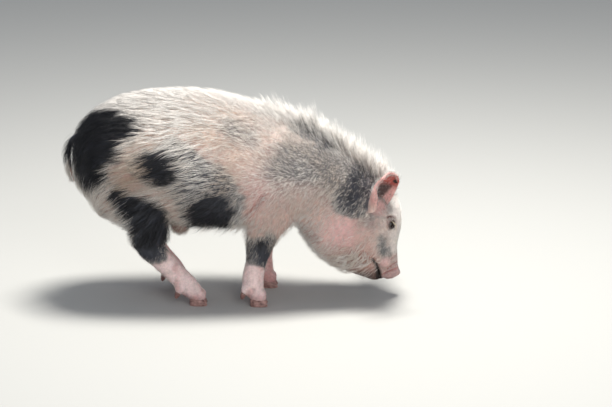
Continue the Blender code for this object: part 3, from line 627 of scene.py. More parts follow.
# %% Folds
# A path on the right side in profile (x, z), its width and its depth
CREASES = {
    "elbow_fold": (((0.058, 0.232), (0.042, 0.205), (0.022, 0.182), (0.010, 0.168)), 0.0042, 0.0040),
    "snout_fold": (((0.330, 0.062), (0.304, 0.058), (0.288, 0.050)), 0.0022, 0.0028),
    "snout_fold_two": (((0.328, 0.075), (0.308, 0.070), (0.298, 0.063)), 0.0020, 0.0020),
    "snout_fold_three": (((0.326, 0.090), (0.310, 0.086), (0.302, 0.082)), 0.0022, 0.0016),
    "mouth_corner": (((0.268, 0.087), (0.262, 0.093), (0.254, 0.094)), 0.0030, 0.0018),
    "ham_fold": (((-0.196, 0.128), (-0.204, 0.146), (-0.214, 0.160)), 0.0050, 0.0020),
    "throat_fold": (((0.118, 0.158), (0.140, 0.150), (0.156, 0.136)), 0.0060, 0.0030),
}
# How far out from the middle of the eye each ring lies, its width, and its rise or fall above and below
LID_RINGS = (
    (0.0080, 0.0022, 0.0016, 0.0008),
    (0.0130, 0.0018, -0.0030, 0.0),
    (0.0172, 0.0030, 0.0026, 0.0),
)
# The roll beside a crease: its height as a share of the depth, and its place in widths
ROLL_HEIGHT = 0.45
ROLL_PLACE = 1.9
# The eye's folds are longer than they are high, by this much
FOLD_STRETCH = 1.25


def distance_to_path(places, path):
    """How far each place is, in profile, from a path of (x, z) points."""
    flat = places[:, [0, 2]]
    nearest = np.full(len(flat), 9.0)
    for start, end in zip(path, path[1:]):
        start, run = np.array(start), np.array(end) - np.array(start)
        share = np.clip(((flat - start) @ run) / (run @ run), 0.0, 1.0)
        nearest = np.minimum(nearest, np.linalg.norm(flat - start - share[:, None] * run, axis=1))
    return nearest


def around_eye(places, side):
    """For each place its distance from the eye's middle over the skin, and how far above the slit it is."""
    local = (places - np.array(eyes[side][0])) @ np.array(looks[side].to_3x3())
    reach = np.hypot(local[:, 0] / FOLD_STRETCH, local[:, 1])
    return np.where(local[:, 2] > 0.0, reach, 9.0), local[:, 1]


def creased(piece):
    """Sinks the skin along the creases and round the eyes, and lifts the rolls beside them."""
    places, outward = points_of(piece.data)
    side_on = ramp(0.010, 0.022, np.abs(places[:, 1]))
    sink = np.zeros(len(places))
    for path, width, depth in CREASES.values():
        away = distance_to_path(places, path) / width
        roll = ROLL_HEIGHT * np.exp(-((away - ROLL_PLACE) ** 2))
        sink += (-np.exp(-(away**2)) + roll) * depth * side_on
    for side in eyes:
        reach, above = around_eye(places, side)
        upper = ramp(-0.004, 0.004, above)
        for ring, width, over, under in LID_RINGS:
            sink += np.exp(-(((reach - ring) / width) ** 2)) * (over * upper + under * (1.0 - upper))
    places += outward * sink[:, None]
    return put_points(piece, places)


skin = creased(skin)
print("creases", list(CREASES))

# %% [markdown]
# ## Mouth, nostrils and the slit of the eye
# The mouth is a thin curved blade cut up from the front of the jaw, the nostrils are two slanting ovals,
# and the eye's slit is an almond. Real cuts keep an edge that bump alone can't give.

# %% Openings
MOUTH_PATH = ((0.2810, 0.018), (0.2815, 0.038), (0.2800, 0.056), (0.2755, 0.074), (0.2675, 0.087))
MOUTH_WIDTH = 0.0030
MOUTH_REACH = 0.060
GUM_HALF = 0.015
SOCKET_GAP = 0.0002
SLIT_DEPTH = 1.1
NOSTRIL_RADII = (0.0036, 0.0050, 0.0090)
NOSTRIL_SPREAD = 0.0098
NOSTRIL_AHEAD = 0.0045
NOSTRIL_SLANT = 0.35


def mouth_blade(path, start, end):
    """A thin curved blade along a path in profile, from one side to the other."""
    shape = bmesh.new()
    front, back = [], []
    for x, z in path:
        front.append(shape.verts.new((x + MOUTH_WIDTH / 2, start, z)))
        back.append(shape.verts.new((x - MOUTH_WIDTH / 2, start, z)))
    outline = shape.faces.new(front + back[::-1])
    swept = bmesh.ops.extrude_face_region(shape, geom=[outline])["geom"]
    moved = [item for item in swept if isinstance(item, bmesh.types.BMVert)]
    bmesh.ops.translate(shape, vec=(0.0, end - start, 0.0), verts=moved)
    return piece_from("mouth_blade", shape)


def cut_from(piece, cutters):
    """Cuts closed shapes out of a piece in one Boolean, and removes them."""
    group = bpy.data.collections.new("cutters")
    for cutter in cutters:
        group.objects.link(cutter)
    cut = piece.modifiers.new("cut", "BOOLEAN")
    cut.operation = "DIFFERENCE"
    cut.operand_type = "COLLECTION"
    cut.collection = group
    cut.solver = "MANIFOLD"
    evaluated(piece)
    for cutter in cutters:
        bpy.data.objects.remove(cutter, do_unlink=True)
    bpy.data.collections.remove(group)
    return piece


openings = [
    mouth_blade(MOUTH_PATH, -MOUTH_REACH, -GUM_HALF),
    mouth_blade(MOUTH_PATH, GUM_HALF, MOUTH_REACH),
    mouth_blade(MOUTH_PATH[:2], -MOUTH_REACH, MOUTH_REACH),
]
for side, (centre, radius) in eyes.items():
    outer = radius + LID_THICKNESS
    ahead = looks[side] @ Matrix.Translation((0.0, 0.0, outer))
    slit = (*LID_OPENING, outer * SLIT_DEPTH)
    openings.append(ball(f"opening_{side}", centre, slit, ahead, LID_SEGMENTS))
    openings.append(ball(f"socket_{side}", centre, (radius + SOCKET_GAP,) * 3, None, LID_SEGMENTS))
for hand in (-1, 1):
    place = SNOUT_CENTRE + SNOUT_FACING * NOSTRIL_AHEAD + LEFT * hand * NOSTRIL_SPREAD
    slant = Matrix.Rotation(hand * NOSTRIL_SLANT, 4, "Z")
    lean = turned(LEFT, SNOUT_FACING.cross(LEFT), SNOUT_FACING) @ slant
    openings.append(ball(f"nostril_{hand}", place, NOSTRIL_RADII, lean))
skin = cut_from(skin, openings)
skin.data.transform(Matrix.Translation(SHIFT))
skin.data.shade_smooth()
for side, (centre, radius) in list(eyes.items()):
    eyes[side] = (centre + SHIFT, radius)
SNOUT_MIDDLE = np.array(SNOUT_CENTRE + SHIFT)
print("cut skin has", len(skin.data.vertices), "points")

# %% [markdown]
# ## Unwrapping the skin
# The skin's own shape is laid out flat once. The coat borrows this layout: each tuft's colours sit on a
# patch at its root, so that skin and hair can be baked on the same plan.

# %% Unwrap
BAKE_MAP = "OFBake"
CHART_ANGLE = math.radians(66)
CHART_GAP = 0.002


def unwrap(piece):
    """Lays a piece's surface out flat, in charts of its own shape."""
    piece.data.uv_layers.new(name=BAKE_MAP)
    bpy.ops.object.select_all(action="DESELECT")
    bpy.context.view_layer.objects.active = piece
    piece.select_set(True)
    bpy.ops.object.mode_set(mode="EDIT")
    bpy.ops.mesh.select_all(action="SELECT")
    bpy.ops.uv.smart_project(angle_limit=CHART_ANGLE, island_margin=CHART_GAP)
    bpy.ops.object.mode_set(mode="OBJECT")


unwrap(skin)
skin_tree = surface_of(skin)
print("unwrapped", len(skin.data.polygons), "faces of skin")

# %% [markdown]
# ## Spots
# A pig's colour is set in patches, and the patch is larger in the skin than in the hair that shows, so
# pale hair over dark skin makes a blue-grey edge. Each patch is painted as a stroke of a round brush: a
# chain of discs, given by how far along the pig, how far up its side, and radius.

# %% Markings
# From the camera a place seems to sink by this much of its way towards it, so heights allow for that
LEAN = 0.268
TAIL_MARK = ((-0.300, 0.322, 0.020), (-0.322, 0.300, 0.020), (-0.322, 0.276, 0.012))

# For each kind: how dark the skin is, the share of black hairs, and how soft the edge is in each
KINDS = {
    "black": (1.0, 1.0, 0.008, 0.006),
    "smoky": (0.97, 0.90, 0.014, 0.014),
    "grey": (0.88, 0.06, 0.016, 0.016),
    "sooty": (0.88, 0.55, 0.010, 0.010),
    "ticked": (0.50, 0.15, 0.030, 0.030),
}
MARKS = {
    -1: {
        "black": (
            ((-0.212, 0.334, 0.028), (-0.262, 0.328, 0.040), (-0.270, 0.300, 0.052)),
            ((-0.270, 0.300, 0.052), (-0.273, 0.255, 0.030), (-0.264, 0.230, 0.020)),
            ((-0.164, 0.268, 0.020), (-0.142, 0.244, 0.026)),
            ((-0.070, 0.164, 0.029), (-0.032, 0.168, 0.034)),
            ((-0.224, 0.197, 0.012), (-0.200, 0.178, 0.024), (-0.167, 0.150, 0.038)),
            ((-0.167, 0.150, 0.038), (-0.162, 0.118, 0.034), (-0.160, 0.092, 0.022)),
            ((0.056, 0.098, 0.015), (0.058, 0.078, 0.013)),
            TAIL_MARK,
        ),
        "smoky": (((0.230, 0.227, 0.016), (0.230, 0.206, 0.020)),),
        "grey": (
            ((-0.116, 0.272, 0.032), (-0.064, 0.210, 0.050), (-0.032, 0.184, 0.052)),
            ((0.284, 0.114, 0.001), (0.287, 0.090, 0.002)),
        ),
        "sooty": (
            ((0.130, 0.346, 0.015), (0.184, 0.302, 0.016)),
            ((0.246, 0.228, 0.032), (0.232, 0.200, 0.034)),
            ((0.032, 0.090, 0.022), (0.060, 0.092, 0.025)),
        ),
        "ticked": (
            ((0.110, 0.262, 0.040), (0.196, 0.262, 0.056), (0.250, 0.230, 0.050)),
            ((0.000, 0.325, 0.014), (0.030, 0.322, 0.012)),
            ((0.180, 0.304, 0.030), (0.236, 0.276, 0.026)),
            ((0.292, 0.190, 0.006), (0.262, 0.158, 0.008)),
        ),
    },
    1: {
        "black": (
            TAIL_MARK,
            ((-0.250, 0.330, 0.034), (-0.268, 0.290, 0.044), (-0.262, 0.255, 0.026)),
            ((-0.150, 0.290, 0.030), (-0.090, 0.280, 0.036)),
            ((-0.052, 0.200, 0.026), (-0.030, 0.206, 0.022)),
        ),
        "smoky": (
            ((0.095, 0.305, 0.024), (0.130, 0.290, 0.020)),
            ((0.226, 0.204, 0.018), (0.234, 0.186, 0.018)),
        ),
        "grey": (
            ((-0.080, 0.270, 0.040), (-0.030, 0.215, 0.042)),
            ((0.135, 0.290, 0.032), (0.150, 0.270, 0.026)),
            ((0.246, 0.210, 0.034), (0.240, 0.190, 0.030)),
        ),
        "ticked": (
            ((0.140, 0.270, 0.046), (0.240, 0.220, 0.046)),
            ((0.296, 0.172, 0.014), (0.270, 0.180, 0.020)),
        ),
    },
}


def inside(places, strokes, hand):
    """How deep inside the strokes of one side each place is, in metres; below 0 is outside."""
    flat = np.stack([places[:, 0], places[:, 2] - hand * LEAN * places[:, 1]], 1)
    depth = np.full(len(places), -1.0)
    for stroke in strokes:
        for start, end in zip(stroke, stroke[1:]):
            start, end = np.array(start), np.array(end)
            run = end[:2] - start[:2]
            share = np.clip(((flat - start[:2]) @ run) / (run @ run), 0.0, 1.0)
            radius = start[2] + (end[2] - start[2]) * share
            away = np.linalg.norm(flat - start[:2] - share[:, None] * run, axis=1)
            depth = np.maximum(depth, radius - away)
    return depth


def marked(places, value, edge, cloudy):
    """The strongest mark at each place; value and edge pick a number from each kind."""
    best = np.zeros(len(places))
    for hand, kinds in MARKS.items():
        ours = ramp(-0.016, -0.002, places[:, 1] * hand)
        for kind, strokes in kinds.items():
            soft = KINDS[kind][edge]
            depth = inside(places, strokes, hand) + cloudy
            best = np.maximum(best, KINDS[kind][value] * ramp(-soft, soft, depth) * ours)
    return best


def pigment(places):
    """How dark the skin is at each place, from 0 to 1."""
    cloudy = 0.005 + 0.006 * ripple(places, 0.030, 5) + 0.003 * ripple(places, 0.009, 6)
    return marked(places, 0, 2, cloudy)


def blackness(places):
    """The share of the hairs that show at each place that are black."""
    return marked(places, 1, 3, 0.005 * ripple(places, 0.026, 7) + 0.003 * ripple(places, 0.008, 8))


# %% [markdown]
# ## Colour over the whole skin
# Live skin is never one pink. It flushes where it is thin or rubbed, pales on the brow, and browns under
# the jaw. Painted shade darkens its creases, chin, mouth line, lids and far legs, and painted light pales
# the crest's front. The colours are laid over one another like washes of paint, each with a soft share at
# each place, and kept on the skin's points.

# %% Fields of colour
WITHERS_TOP = 0.375
NECK_SLOPE = 0.62


def on_crest(places):
    """How near each place is to the top line of neck and withers."""
    x, _, z = places.T
    top_line = WITHERS_TOP - NECK_SLOPE * np.maximum(0.0, x - 0.06)
    return ramp(0.19, 0.23, z) * ramp(-0.050, 0.0, z - top_line)


PINK, FLUSHED, CREAM_SKIN = tone("#c6a49a"), tone("#c58d89"), tone("#d0b6a6")
# Ear pink and red, and a near-black for the right ear's freckle and for painted shade in the cup
EAR_PINK, EAR_RED, EAR_FRECKLE_AND_SHADE = tone("#dfaaa4"), tone("#b03d30"), tone("#2c1a19")
# Slate of the spots, raw red, and a brown painted as shade under the chin
SLATE, RAW, CHIN_SHADE_BROWN = tone("#383a43"), tone("#9a4f49"), tone("#4a342e")
LEG_PINK, DISC_PINK, NOSE_GREY = tone("#ead0cd"), tone("#ab8b88"), tone("#5d555b")
JOWL_PINK, LIP_PINK, BARE_FACE = tone("#dcabac"), tone("#e6b8b6"), tone("#d2bfb6")
# The lid fold is reddish-brown skin with painted shade; the lid rim and the mouth line are painted shade
LID_FOLD_AND_SHADE, LID_RIM_SHADE, MOUTH_SHADE = tone("#693a33"), tone("#2c1a17"), tone("#1d1413")
# Greys that the ticked places turn to, and the tones of shoulder, bristle line, jaw, snout and brow
ASH, ROAN, CREST_SKIN = tone("#8e8985"), tone("#a99793"), tone("#b9aca6")
JAW_BROWN, SNOUT_SKIN, BROW_PALE = tone("#94685b"), tone("#a08984"), tone("#ece2dc")

TUSK_LIP = np.array(SWELLS["tusk_lip"][0]) + np.array((0.002, 0.004, 0.0))
EAR_FOOT, EAR_FOOT_REACH = (0.279, 0.178), (0.018, 0.018)
# Creases painted red-brown inside, their own redness and painted shade, and how far it spreads
FOLD_RED_AND_SHADE = {
    "elbow_fold": 0.007,
    "mouth_corner": 0.004,
    # The throat's colour is mostly painted shade under the neck
    "throat_fold": 0.010,
    "snout_fold": 0.0018,
    "snout_fold_two": 0.0014,
    "snout_fold_three": 0.0014,
}


def oval(places, centre, radii):
    """1 at a centre in profile, fading to 0 past its radii."""
    x, height = places[:, 0], places[:, 2] - LEAN * np.abs(places[:, 1])
    return np.exp(-(((x - centre[0]) / radii[0]) ** 2) - ((height - centre[1]) / radii[1]) ** 2)


def body_tone(places):
    """Cream and pink, with the washes of jowl, elbow, shoulder, bristle line, face, snout and jaw, and
    painted light at the crest's front.
    """
    x, _, z = places.T
    layers = (
        (PINK, ramp(0.37, 0.26, z) * 0.7 + 0.3 * ripple(places, 0.05, 9).clip(0, 1)),
        (FLUSHED, 0.28 * ramp(0.2, 1.2, ripple(places, 0.018, 10))),
        (JOWL_PINK, 0.70 * oval(places, (0.212, 0.128), (0.044, 0.038))),
        (FLUSHED, 0.45 * oval(places, (0.045, 0.205), (0.034, 0.040))),
        (ROAN, 0.40 * ramp(-0.03, 0.08, x) * ramp(0.17, 0.23, z)),
        (CREST_SKIN, 0.80 * ramp(0.02, 0.07, x) * on_crest(places)),
        # Face colour carried up the crest's front: painted light against the shade between standing
        # bristles
        (BARE_FACE, 0.8 * ramp(0.235, 0.275, x) * on_crest(places)),
        (BARE_FACE, 0.8 * ramp(0.262, 0.285, x) * ramp(0.055, 0.080, z)),
        (BROW_PALE, 0.8 * ramp(0.292, 0.308, x) * ramp(0.085, 0.105, z)),
        (SNOUT_SKIN, 0.75 * ramp(0.268, 0.284, x) * ramp(0.105, 0.070, z)),
        (JAW_BROWN, 0.75 * oval(places, (0.236, 0.074), (0.046, 0.026))),
    )
    return layered(CREAM_SKIN, layers)


def leg_tone(places):
    """Pale pink, flushed in clouds, redder and darker on the left side as flush and painted shade, and raw
    just above the hooves.
    """
    _, y, z = places.T
    layers = (
        (FLUSHED, 0.50 * ramp(0.2, 1.1, ripple(places, 0.016, 11))),
        # The far, left legs are redder and darker: partly their own flush, partly painted shade
        (FLUSHED, 0.60 * ramp(0.0, 0.03, y)),
        (RAW, 0.35 * ramp(0.032, 0.018, z)),
    )
    return layered(LEG_PINK, layers)


def skin_tone(places):
    """The skin's colour at each place: pink, redder where it is thin or warm, slate under the spots, with
    painted shade in the creases, under the chin, along the mouth and round the eyes.
    """
    x, _, z = places.T
    disc = ramp(0.040, 0.020, np.linalg.norm(places - SNOUT_MIDDLE, axis=1))
    disc_skin = mixed(DISC_PINK, NOSE_GREY, 0.6 * ramp(0.0, 0.9, ripple(places, 0.010, 12)))
    crease_red_and_shade = [(distance_to_path(places, CREASES[name][0]), width) for name, width in FOLD_RED_AND_SHADE.items()]
    sheath = np.linalg.norm(places - np.array(SHEATH[0]), axis=1)
    # Painted shade: brown along the bottom of the jaw at the chin
    chin_shade = ramp(0.078, 0.048, z) * ramp(0.205, 0.25, x) * ramp(0.287, 0.280, x)
    dark = pigment(places) * (1.0 - 0.6 * disc)
    lip = np.linalg.norm(np.abs(places) - TUSK_LIP, axis=1)
    mouth = distance_to_path(places, MOUTH_PATH) - 0.003 * ramp(0.075, 0.050, z)
    layers = [
        (leg_tone(places), 1.0 - ramp(0.085, 0.135, np.where(x < 0.13, z, 1.0))),
        (disc_skin, disc),
        # Creases red-brown inside: their own redness and painted shade
        *((RAW, 0.6 * np.exp(-((away / width) ** 2))) for away, width in crease_red_and_shade),
        (RAW, 0.55 * ramp(0.036, 0.020, sheath)),
        # Painted shade under the chin
        (CHIN_SHADE_BROWN, 0.85 * chin_shade),
        (ASH, ramp(0.0, 0.55, dark)),
        (SLATE, dark),
        (LIP_PINK, 0.7 * ramp(0.017, 0.003, lip)),
        (EAR_PINK, 0.6 * ramp(0.15, 0.90, oval(places, EAR_FOOT, EAR_FOOT_REACH))),
        # Painted shade: near-black along the mouth's line
        (MOUTH_SHADE, 0.95 * np.exp(-((np.maximum(0.0, mouth) / 0.0036) ** 2))),
    ]
    for side in eyes:
        reach, above = around_eye(places, side)
        # Painted shade: the fold above each eye and the rim of its slit
        lid_fold_shade = np.exp(-(((reach - 0.0125) / 0.0030) ** 2)) * ramp(-0.002, 0.005, above)
        layers.append((LID_FOLD_AND_SHADE, 0.90 * np.maximum(lid_fold_shade, 0.7 * ramp(0.0130, 0.0105, reach))))
        layers.append((LID_RIM_SHADE, 0.95 * ramp(0.0105, 0.0075, reach)))
    return layered(body_tone(places), layers)


def paint_points(piece, tones):
    """Keeps a colour for each point of a piece, for its material to read."""
    layer = piece.data.color_attributes.new("tone", "FLOAT_COLOR", "POINT")
    rows = np.ones((len(tones), 4))
    rows[:, :3] = tones
    layer.data.foreach_set("color", rows.ravel())


skin_places, _ = points_of(skin.data)
paint_points(skin, skin_tone(skin_places))
print("painted", len(skin_places), "points of skin")

# %% [markdown]
# ## Skin, as a material
# Pig skin is soft, a little oily and slightly see-through, with pores and fine crossed wrinkles. A
# cloudy noise mottles the painted colour at 6 mm, and bump gives wrinkles of about 1.5 mm.

# %% Skin material
def texture(tree, kind, size, settings):
    """A texture in the piece's own space, with features about size across, in metres."""
    where = add(tree, "ShaderNodeTexCoord")
    return add(tree, kind, {**settings, "Scale": 1 / size}, {"Vector": where.outputs["Object"]})


def shaded(tree, shader, noise, darkest, lightest):
    """Gives the shader the colour painted on the points, made darker and lighter by a noise."""
    painted = add(tree, "ShaderNodeAttribute", {"attribute_name": "tone"})
    spread = {"From Min": 0.3, "From Max": 0.7, "To Min": darkest, "To Max": lightest}
    shade = add(tree, "ShaderNodeMapRange", spread, {"Value": noise.outputs["Fac"]})
    links = {"Vector": painted.outputs["Color"], "Scale": shade.outputs["Result"]}
    tinted = add(tree, "ShaderNodeVectorMath", {"operation": "SCALE"}, links)
    tree.links.new(tinted.outputs["Vector"], shader.inputs["Base Color"])


def joined_heights(tree, first, share, second):
    """A share of one texture added to another."""
    return add(tree, "ShaderNodeMath", {"operation": "MULTIPLY_ADD", 1: share}, {0: first, 2: second})


def bumped(tree, shader, height, strength, distance):
    """Gives the shader fine relief."""
    bump = add(tree, "ShaderNodeBump", {"Strength": strength, "Distance": distance}, {"Height": height})
    tree.links.new(bump.outputs["Normal"], shader.inputs["Normal"])


SKIN_SURFACE = {
    "Roughness": 0.5,
    "IOR": 1.44,
    "Subsurface Weight": 0.12,
    "Subsurface Radius": (0.012, 0.004, 0.002),
    "Subsurface Scale": 0.5,
}


def skin_finish(name, wrinkle):
    material, tree, shader = finish_named(name, SKIN_SURFACE)
    mottle = texture(tree, "ShaderNodeTexNoise", 0.006, {"Detail": 4.0, "Roughness": 0.6})
    shaded(tree, shader, mottle, 0.78, 1.18)
    wrinkled = texture(tree, "ShaderNodeTexVoronoi", 0.0035, {"feature": "DISTANCE_TO_EDGE"})
    grain = texture(tree, "ShaderNodeTexNoise", 0.0015, {"Detail": 3.0})
    relief = joined_heights(tree, grain.outputs["Fac"], 0.5, wrinkled.outputs["Distance"])
    bumped(tree, shader, relief.outputs[0], wrinkle, 0.0008)
    return material


skin.data.materials.clear()
skin.data.materials.append(skin_finish("living_pig_skin", 0.6))
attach(skin, "root")
flesh = ["torso", "neck", "head", "snout", "tail"] + [f"leg_{leg}" for leg in STEP]
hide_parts(*flesh)
print("skin stands for", flesh)

# %% [markdown]
# ## Eyes
# A pig's eye is small, dark brown and wet. The ball is one sphere, and its colours go outward from the
# way it looks: pupil, iris, then a reddish white. A coat on the shader gives the wet shine.

# %% Eyeballs
PUPIL, IRIS, EYE_WHITE = tone("#060505"), tone("#3a2417"), tone("#a58d80")
# Where pupil and iris end, in degrees from the way that the eye looks
PUPIL_EDGE, IRIS_EDGE = (14, 18), (40, 48)
EYE_SEGMENTS = 48


def eyeball(side):
    """A fine ball in place of the solid one, painted around the way it looks."""
    centre, radius = eyes[side]
    piece = ball(f"eyeball_{side}", centre, (radius,) * 3, looks[side], EYE_SEGMENTS)
    facing = np.array(looks[side].to_3x3() @ UP)
    places, _ = points_of(piece.data)
    aside = np.degrees(np.arccos(np.clip(unit(places - np.array(centre)) @ facing, -1, 1)))
    layers = ((IRIS, ramp(*PUPIL_EDGE, aside)), (EYE_WHITE, ramp(*IRIS_EDGE, aside)))
    paint_points(piece, layered(PUPIL, layers))
    piece.data.shade_smooth()
    unwrap(piece)
    print(f"eyeball_{side}", round(2000 * radius, 1), "mm across")
    return piece


def eye_finish():
    wet = {"Roughness": 0.12, "Coat Weight": 1.0, "Coat Roughness": 0.03}
    material, tree, shader = finish_named("wet_brown_eye", wet)
    painted = add(tree, "ShaderNodeAttribute", {"attribute_name": "tone"})
    tree.links.new(painted.outputs["Color"], shader.inputs["Base Color"])
    return material


wet_eye = eye_finish()
for side in eyes:
    piece = eyeball(side)
    piece.data.materials.append(wet_eye)
    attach(piece, "root")
    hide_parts(f"eye_{side}")

# %% [markdown]
# ## Ears
# Each ear is a leaf of gristle rolled at its root into a cup, thicker at the rim. A grid is bent round
# its own length and given a wall, as the solid's is, only finer and with a rolled edge.

# %% Ear shells
EAR_ROOT = Vector((0.263, 0.059, 0.202))
EAR_LENGTH = 0.082
EAR_HALF_WIDTH = 0.0315
EAR_THICKNESS = 0.0038
EAR_FULLNESS = 0.34
EAR_LOBE = 0.0034
# How far the tip bends back, how far up the rear rim ends, and how far down the tip's corners round off
EAR_BACK = 0.006
REAR_LIFT = 0.018
TIP_ROUND = 0.012
EAR_SUNK = 0.018
EAR_GRID = (34, 24)
EAR_ALONG = {"right": (0.46, -0.22, 0.86), "left": (0.06, 0.93, 0.26)}
EAR_FACING = {"right": (0.58, -0.80, -0.10), "left": (0.80, 0.10, -0.45)}
# How far each ear's root turns forward, so that its rear rim folds over the cup
EAR_TWIST = {"right": 0.35, "left": 0.0}
# How far round the ear wraps at its root, and how much of that it loses towards the tip, in radians
EAR_WRAP, EAR_OPENS = 1.95, 1.25
TIP_CURL = 0.012
# Where the small black freckle lies on the right ear: how far to the front rim, and up to the tip
FRECKLE = (0.70, 0.86)


def ear_axes(side):
    """An ear's root and three directions: along it, across it, and the way that its cup faces."""
    along = Vector(EAR_ALONG[side]).normalized()
    facing = Vector(EAR_FACING[side])
    facing = (facing - along * facing.dot(along)).normalized()
    hand = 1 if side == "left" else -1
    return Vector((EAR_ROOT.x, EAR_ROOT.y * hand, EAR_ROOT.z)) + SHIFT, along, along.cross(facing), facing


def ear_point(side, x, share):
    """A place on the ear's inner face: x goes from rim to rim as -1 to 1, share from root to tip."""
    root, along, across, facing = ear_axes(side)
    turn = EAR_TWIST[side] * float(ramp(0.80, 0.15, share))
    across, facing = (
        across * math.cos(turn) - facing * math.sin(turn),
        facing * math.cos(turn) + across * math.sin(turn),
    )
    width = EAR_HALF_WIDTH * math.sin(math.pi * (0.22 + 0.730 * share)) ** EAR_FULLNESS
    wrap = EAR_WRAP - EAR_OPENS * float(ramp(0.0, 0.75, share))
    angle = x * wrap
    radius = width / wrap
    rear, corner = max(0.0, -x) ** 3 * (1.0 - share) ** 2, abs(x) ** 3 * share**6
    height = -EAR_SUNK + (EAR_LENGTH + EAR_SUNK) * share + (REAR_LIFT * rear - TIP_ROUND * corner)
    lift = radius * (1.0 - math.cos(angle)) + TIP_CURL * share * share
    aside = radius * math.sin(angle) - EAR_BACK * share * share
    return root + along * height + across * aside + facing * lift


def ear_shares(side, places):
    """How far towards the tip each place is, and how far towards a rim."""
    root, along, across, _ = (np.array(item) for item in ear_axes(side))
    return (places - root) @ along / EAR_LENGTH, np.abs((places - root) @ across) / EAR_HALF_WIDTH


def rear_lobe(side, places):
    """1 on the lower half of the rear rim, which is thick and fleshy."""
    root, _, across, _ = (np.array(item) for item in ear_axes(side))
    height, _ = ear_shares(side, places)
    rear = (places - root) @ across / EAR_HALF_WIDTH
    return ramp(-0.30, -0.62, rear) * ramp(0.66, 0.40, height) * ramp(-0.05, 0.15, height)


def ear(side):
    """A grid bent to the ear's shape, with a wall and a fleshy lobe."""
    shape = bmesh.new()
    rows, columns = EAR_GRID
    bmesh.ops.create_grid(shape, x_segments=columns, y_segments=rows, size=1.0)
    for vert in shape.verts:
        vert.co = ear_point(side, vert.co.x, (vert.co.y + 1.0) / 2.0)
    bmesh.ops.recalc_face_normals(shape, faces=shape.faces)
    bmesh.ops.solidify(shape, geom=shape.faces[:], thickness=EAR_THICKNESS)
    piece = piece_from(f"ear_shell_{side}", shape)
    places, outward = points_of(piece.data)
    return put_points(piece, places + outward * (EAR_LOBE * rear_lobe(side, places))[:, None])


def ear_tones(side, piece):
    """Pink outside and round the rim, red near the tip, and painted shade down in the cup."""
    facing = np.array(ear_axes(side)[3])
    places, outward = points_of(piece.data)
    height, aside = ear_shares(side, places)
    inner = ramp(0.1, 0.5, outward @ facing)
    red = inner * ramp(0.50, 0.72, height) * ramp(1.02, 0.92, height) * ramp(0.85, 0.40, aside)
    # Painted shade down in the cup
    cup = inner * ramp(0.62, 0.36, aside) * ramp(0.78, 0.58, height) * ramp(0.12, 0.30, height)
    cup *= 1.0 - rear_lobe(side, places)
    layers = [(EAR_RED, 0.9 * red), (BARE_FACE, 0.7 * ramp(0.30, 0.0, height)), (EAR_FRECKLE_AND_SHADE, 0.92 * cup)]
    if side == "right":
        from_freckle = np.linalg.norm(places - np.array(ear_point(side, *FRECKLE)), axis=1)
        layers.append((EAR_FRECKLE_AND_SHADE, ramp(0.0060, 0.0042, from_freckle)))
    grey = 0.30 * (1.0 - inner) * ramp(0.75, 0.25, height) * ramp(0.6, 0.3, aside)
    return layered(EAR_PINK, layers + [(SLATE, grey)])


ear_skin = skin_finish("thin_ear_skin", 0.5)
ears = {}
for side in eyes:
    piece = ear(side)
    paint_points(piece, ear_tones(side, piece))
    piece.data.shade_smooth()
    unwrap(piece)
    piece.data.materials.append(ear_skin)
    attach(piece, "root")
    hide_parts(f"ear_{side}")
    ears[side] = piece
    print(f"ear_shell_{side}", len(piece.data.polygons), "faces")

# %% [markdown]
# ## Hooves and dewclaws
# Horn grows down from the skin in fine rings and wears smooth at the sole. The solids' shapes are
# right, so they keep their meshes and get horn: brown bands about 2 mm apart, with a fine grain.

# %% Horn
def horn_finish(name, dark, light):
    material, tree, shader = finish_named(name, {"Roughness": 0.42, "IOR": 1.55})
    wavy = {"bands_direction": "Z", "Distortion": 2.5, "Detail": 3.0, "Detail Scale": 2.0}
    bands = texture(tree, "ShaderNodeTexWave", 0.010, wavy)
    cloud = texture(tree, "ShaderNodeTexNoise", 0.008, {"Detail": 3.0})
    share = joined_heights(tree, bands.outputs["Fac"], 0.15, cloud.outputs["Fac"])
    ramp_node = add(tree, "ShaderNodeValToRGB", links={"Fac": share.outputs[0]})
    for stop, (position, hex_value) in zip(ramp_node.color_ramp.elements, ((0.35, dark), (0.85, light))):
        stop.position = position
        stop.color = colour(hex_value)
    tree.links.new(ramp_node.outputs["Color"], shader.inputs["Base Color"])
    bumped(tree, shader, share.outputs[0], 0.4, 0.0006)
    return material


hoof_horn = horn_finish("worn_hoof_horn", "#66453f", "#c59c93")
claw_horn = horn_finish("red_brown_claw_horn", "#63403a", "#a87c74")
for name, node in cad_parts.items():
    if name.startswith(("hoof", "dewclaw")):
        node.data.materials.clear()
        node.data.materials.append(hoof_horn if name.startswith("hoof") else claw_horn)
print("horn on", sum(name.startswith(("hoof", "dewclaw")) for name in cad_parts), "nodes")

# %% [markdown]
# ## How the coat grows
# Four things change over the body: how far the coat stands off the skin, which way it lies, how long
# it is and how thick it grows. Each is a function of place, so that the same few numbers serve every
# hair. The depth is the one that the solids use.

# %% Coat fields
BODY_COAT = 0.013
BACK_COAT = 0.004
CREST_COAT = 0.024


def coat_depth(places):
    """How far the coat stands off the skin."""
    x, y, z = places.T
    legs = np.where(x < 0.115, ramp(0.105, 0.155, z), 1.0)
    nose = np.hypot(x - 0.300, z - 0.040)
    face = np.where(x > 0.16, ramp(0.050, 0.150, nose), 1.0)
    forehead = 1.0 - 0.7 * ramp(0.285, 0.310, x) * (1.0 - ramp(0.20, 0.24, z))
    depth = BODY_COAT * legs * face * forehead
    depth = depth + BACK_COAT * np.exp(-((y / 0.045) ** 2)) * ramp(0.30, 0.36, z)
    return depth + CREST_COAT * np.exp(-((y / 0.034) ** 2)) * ramp(0.04, 0.16, x) * on_crest(places)


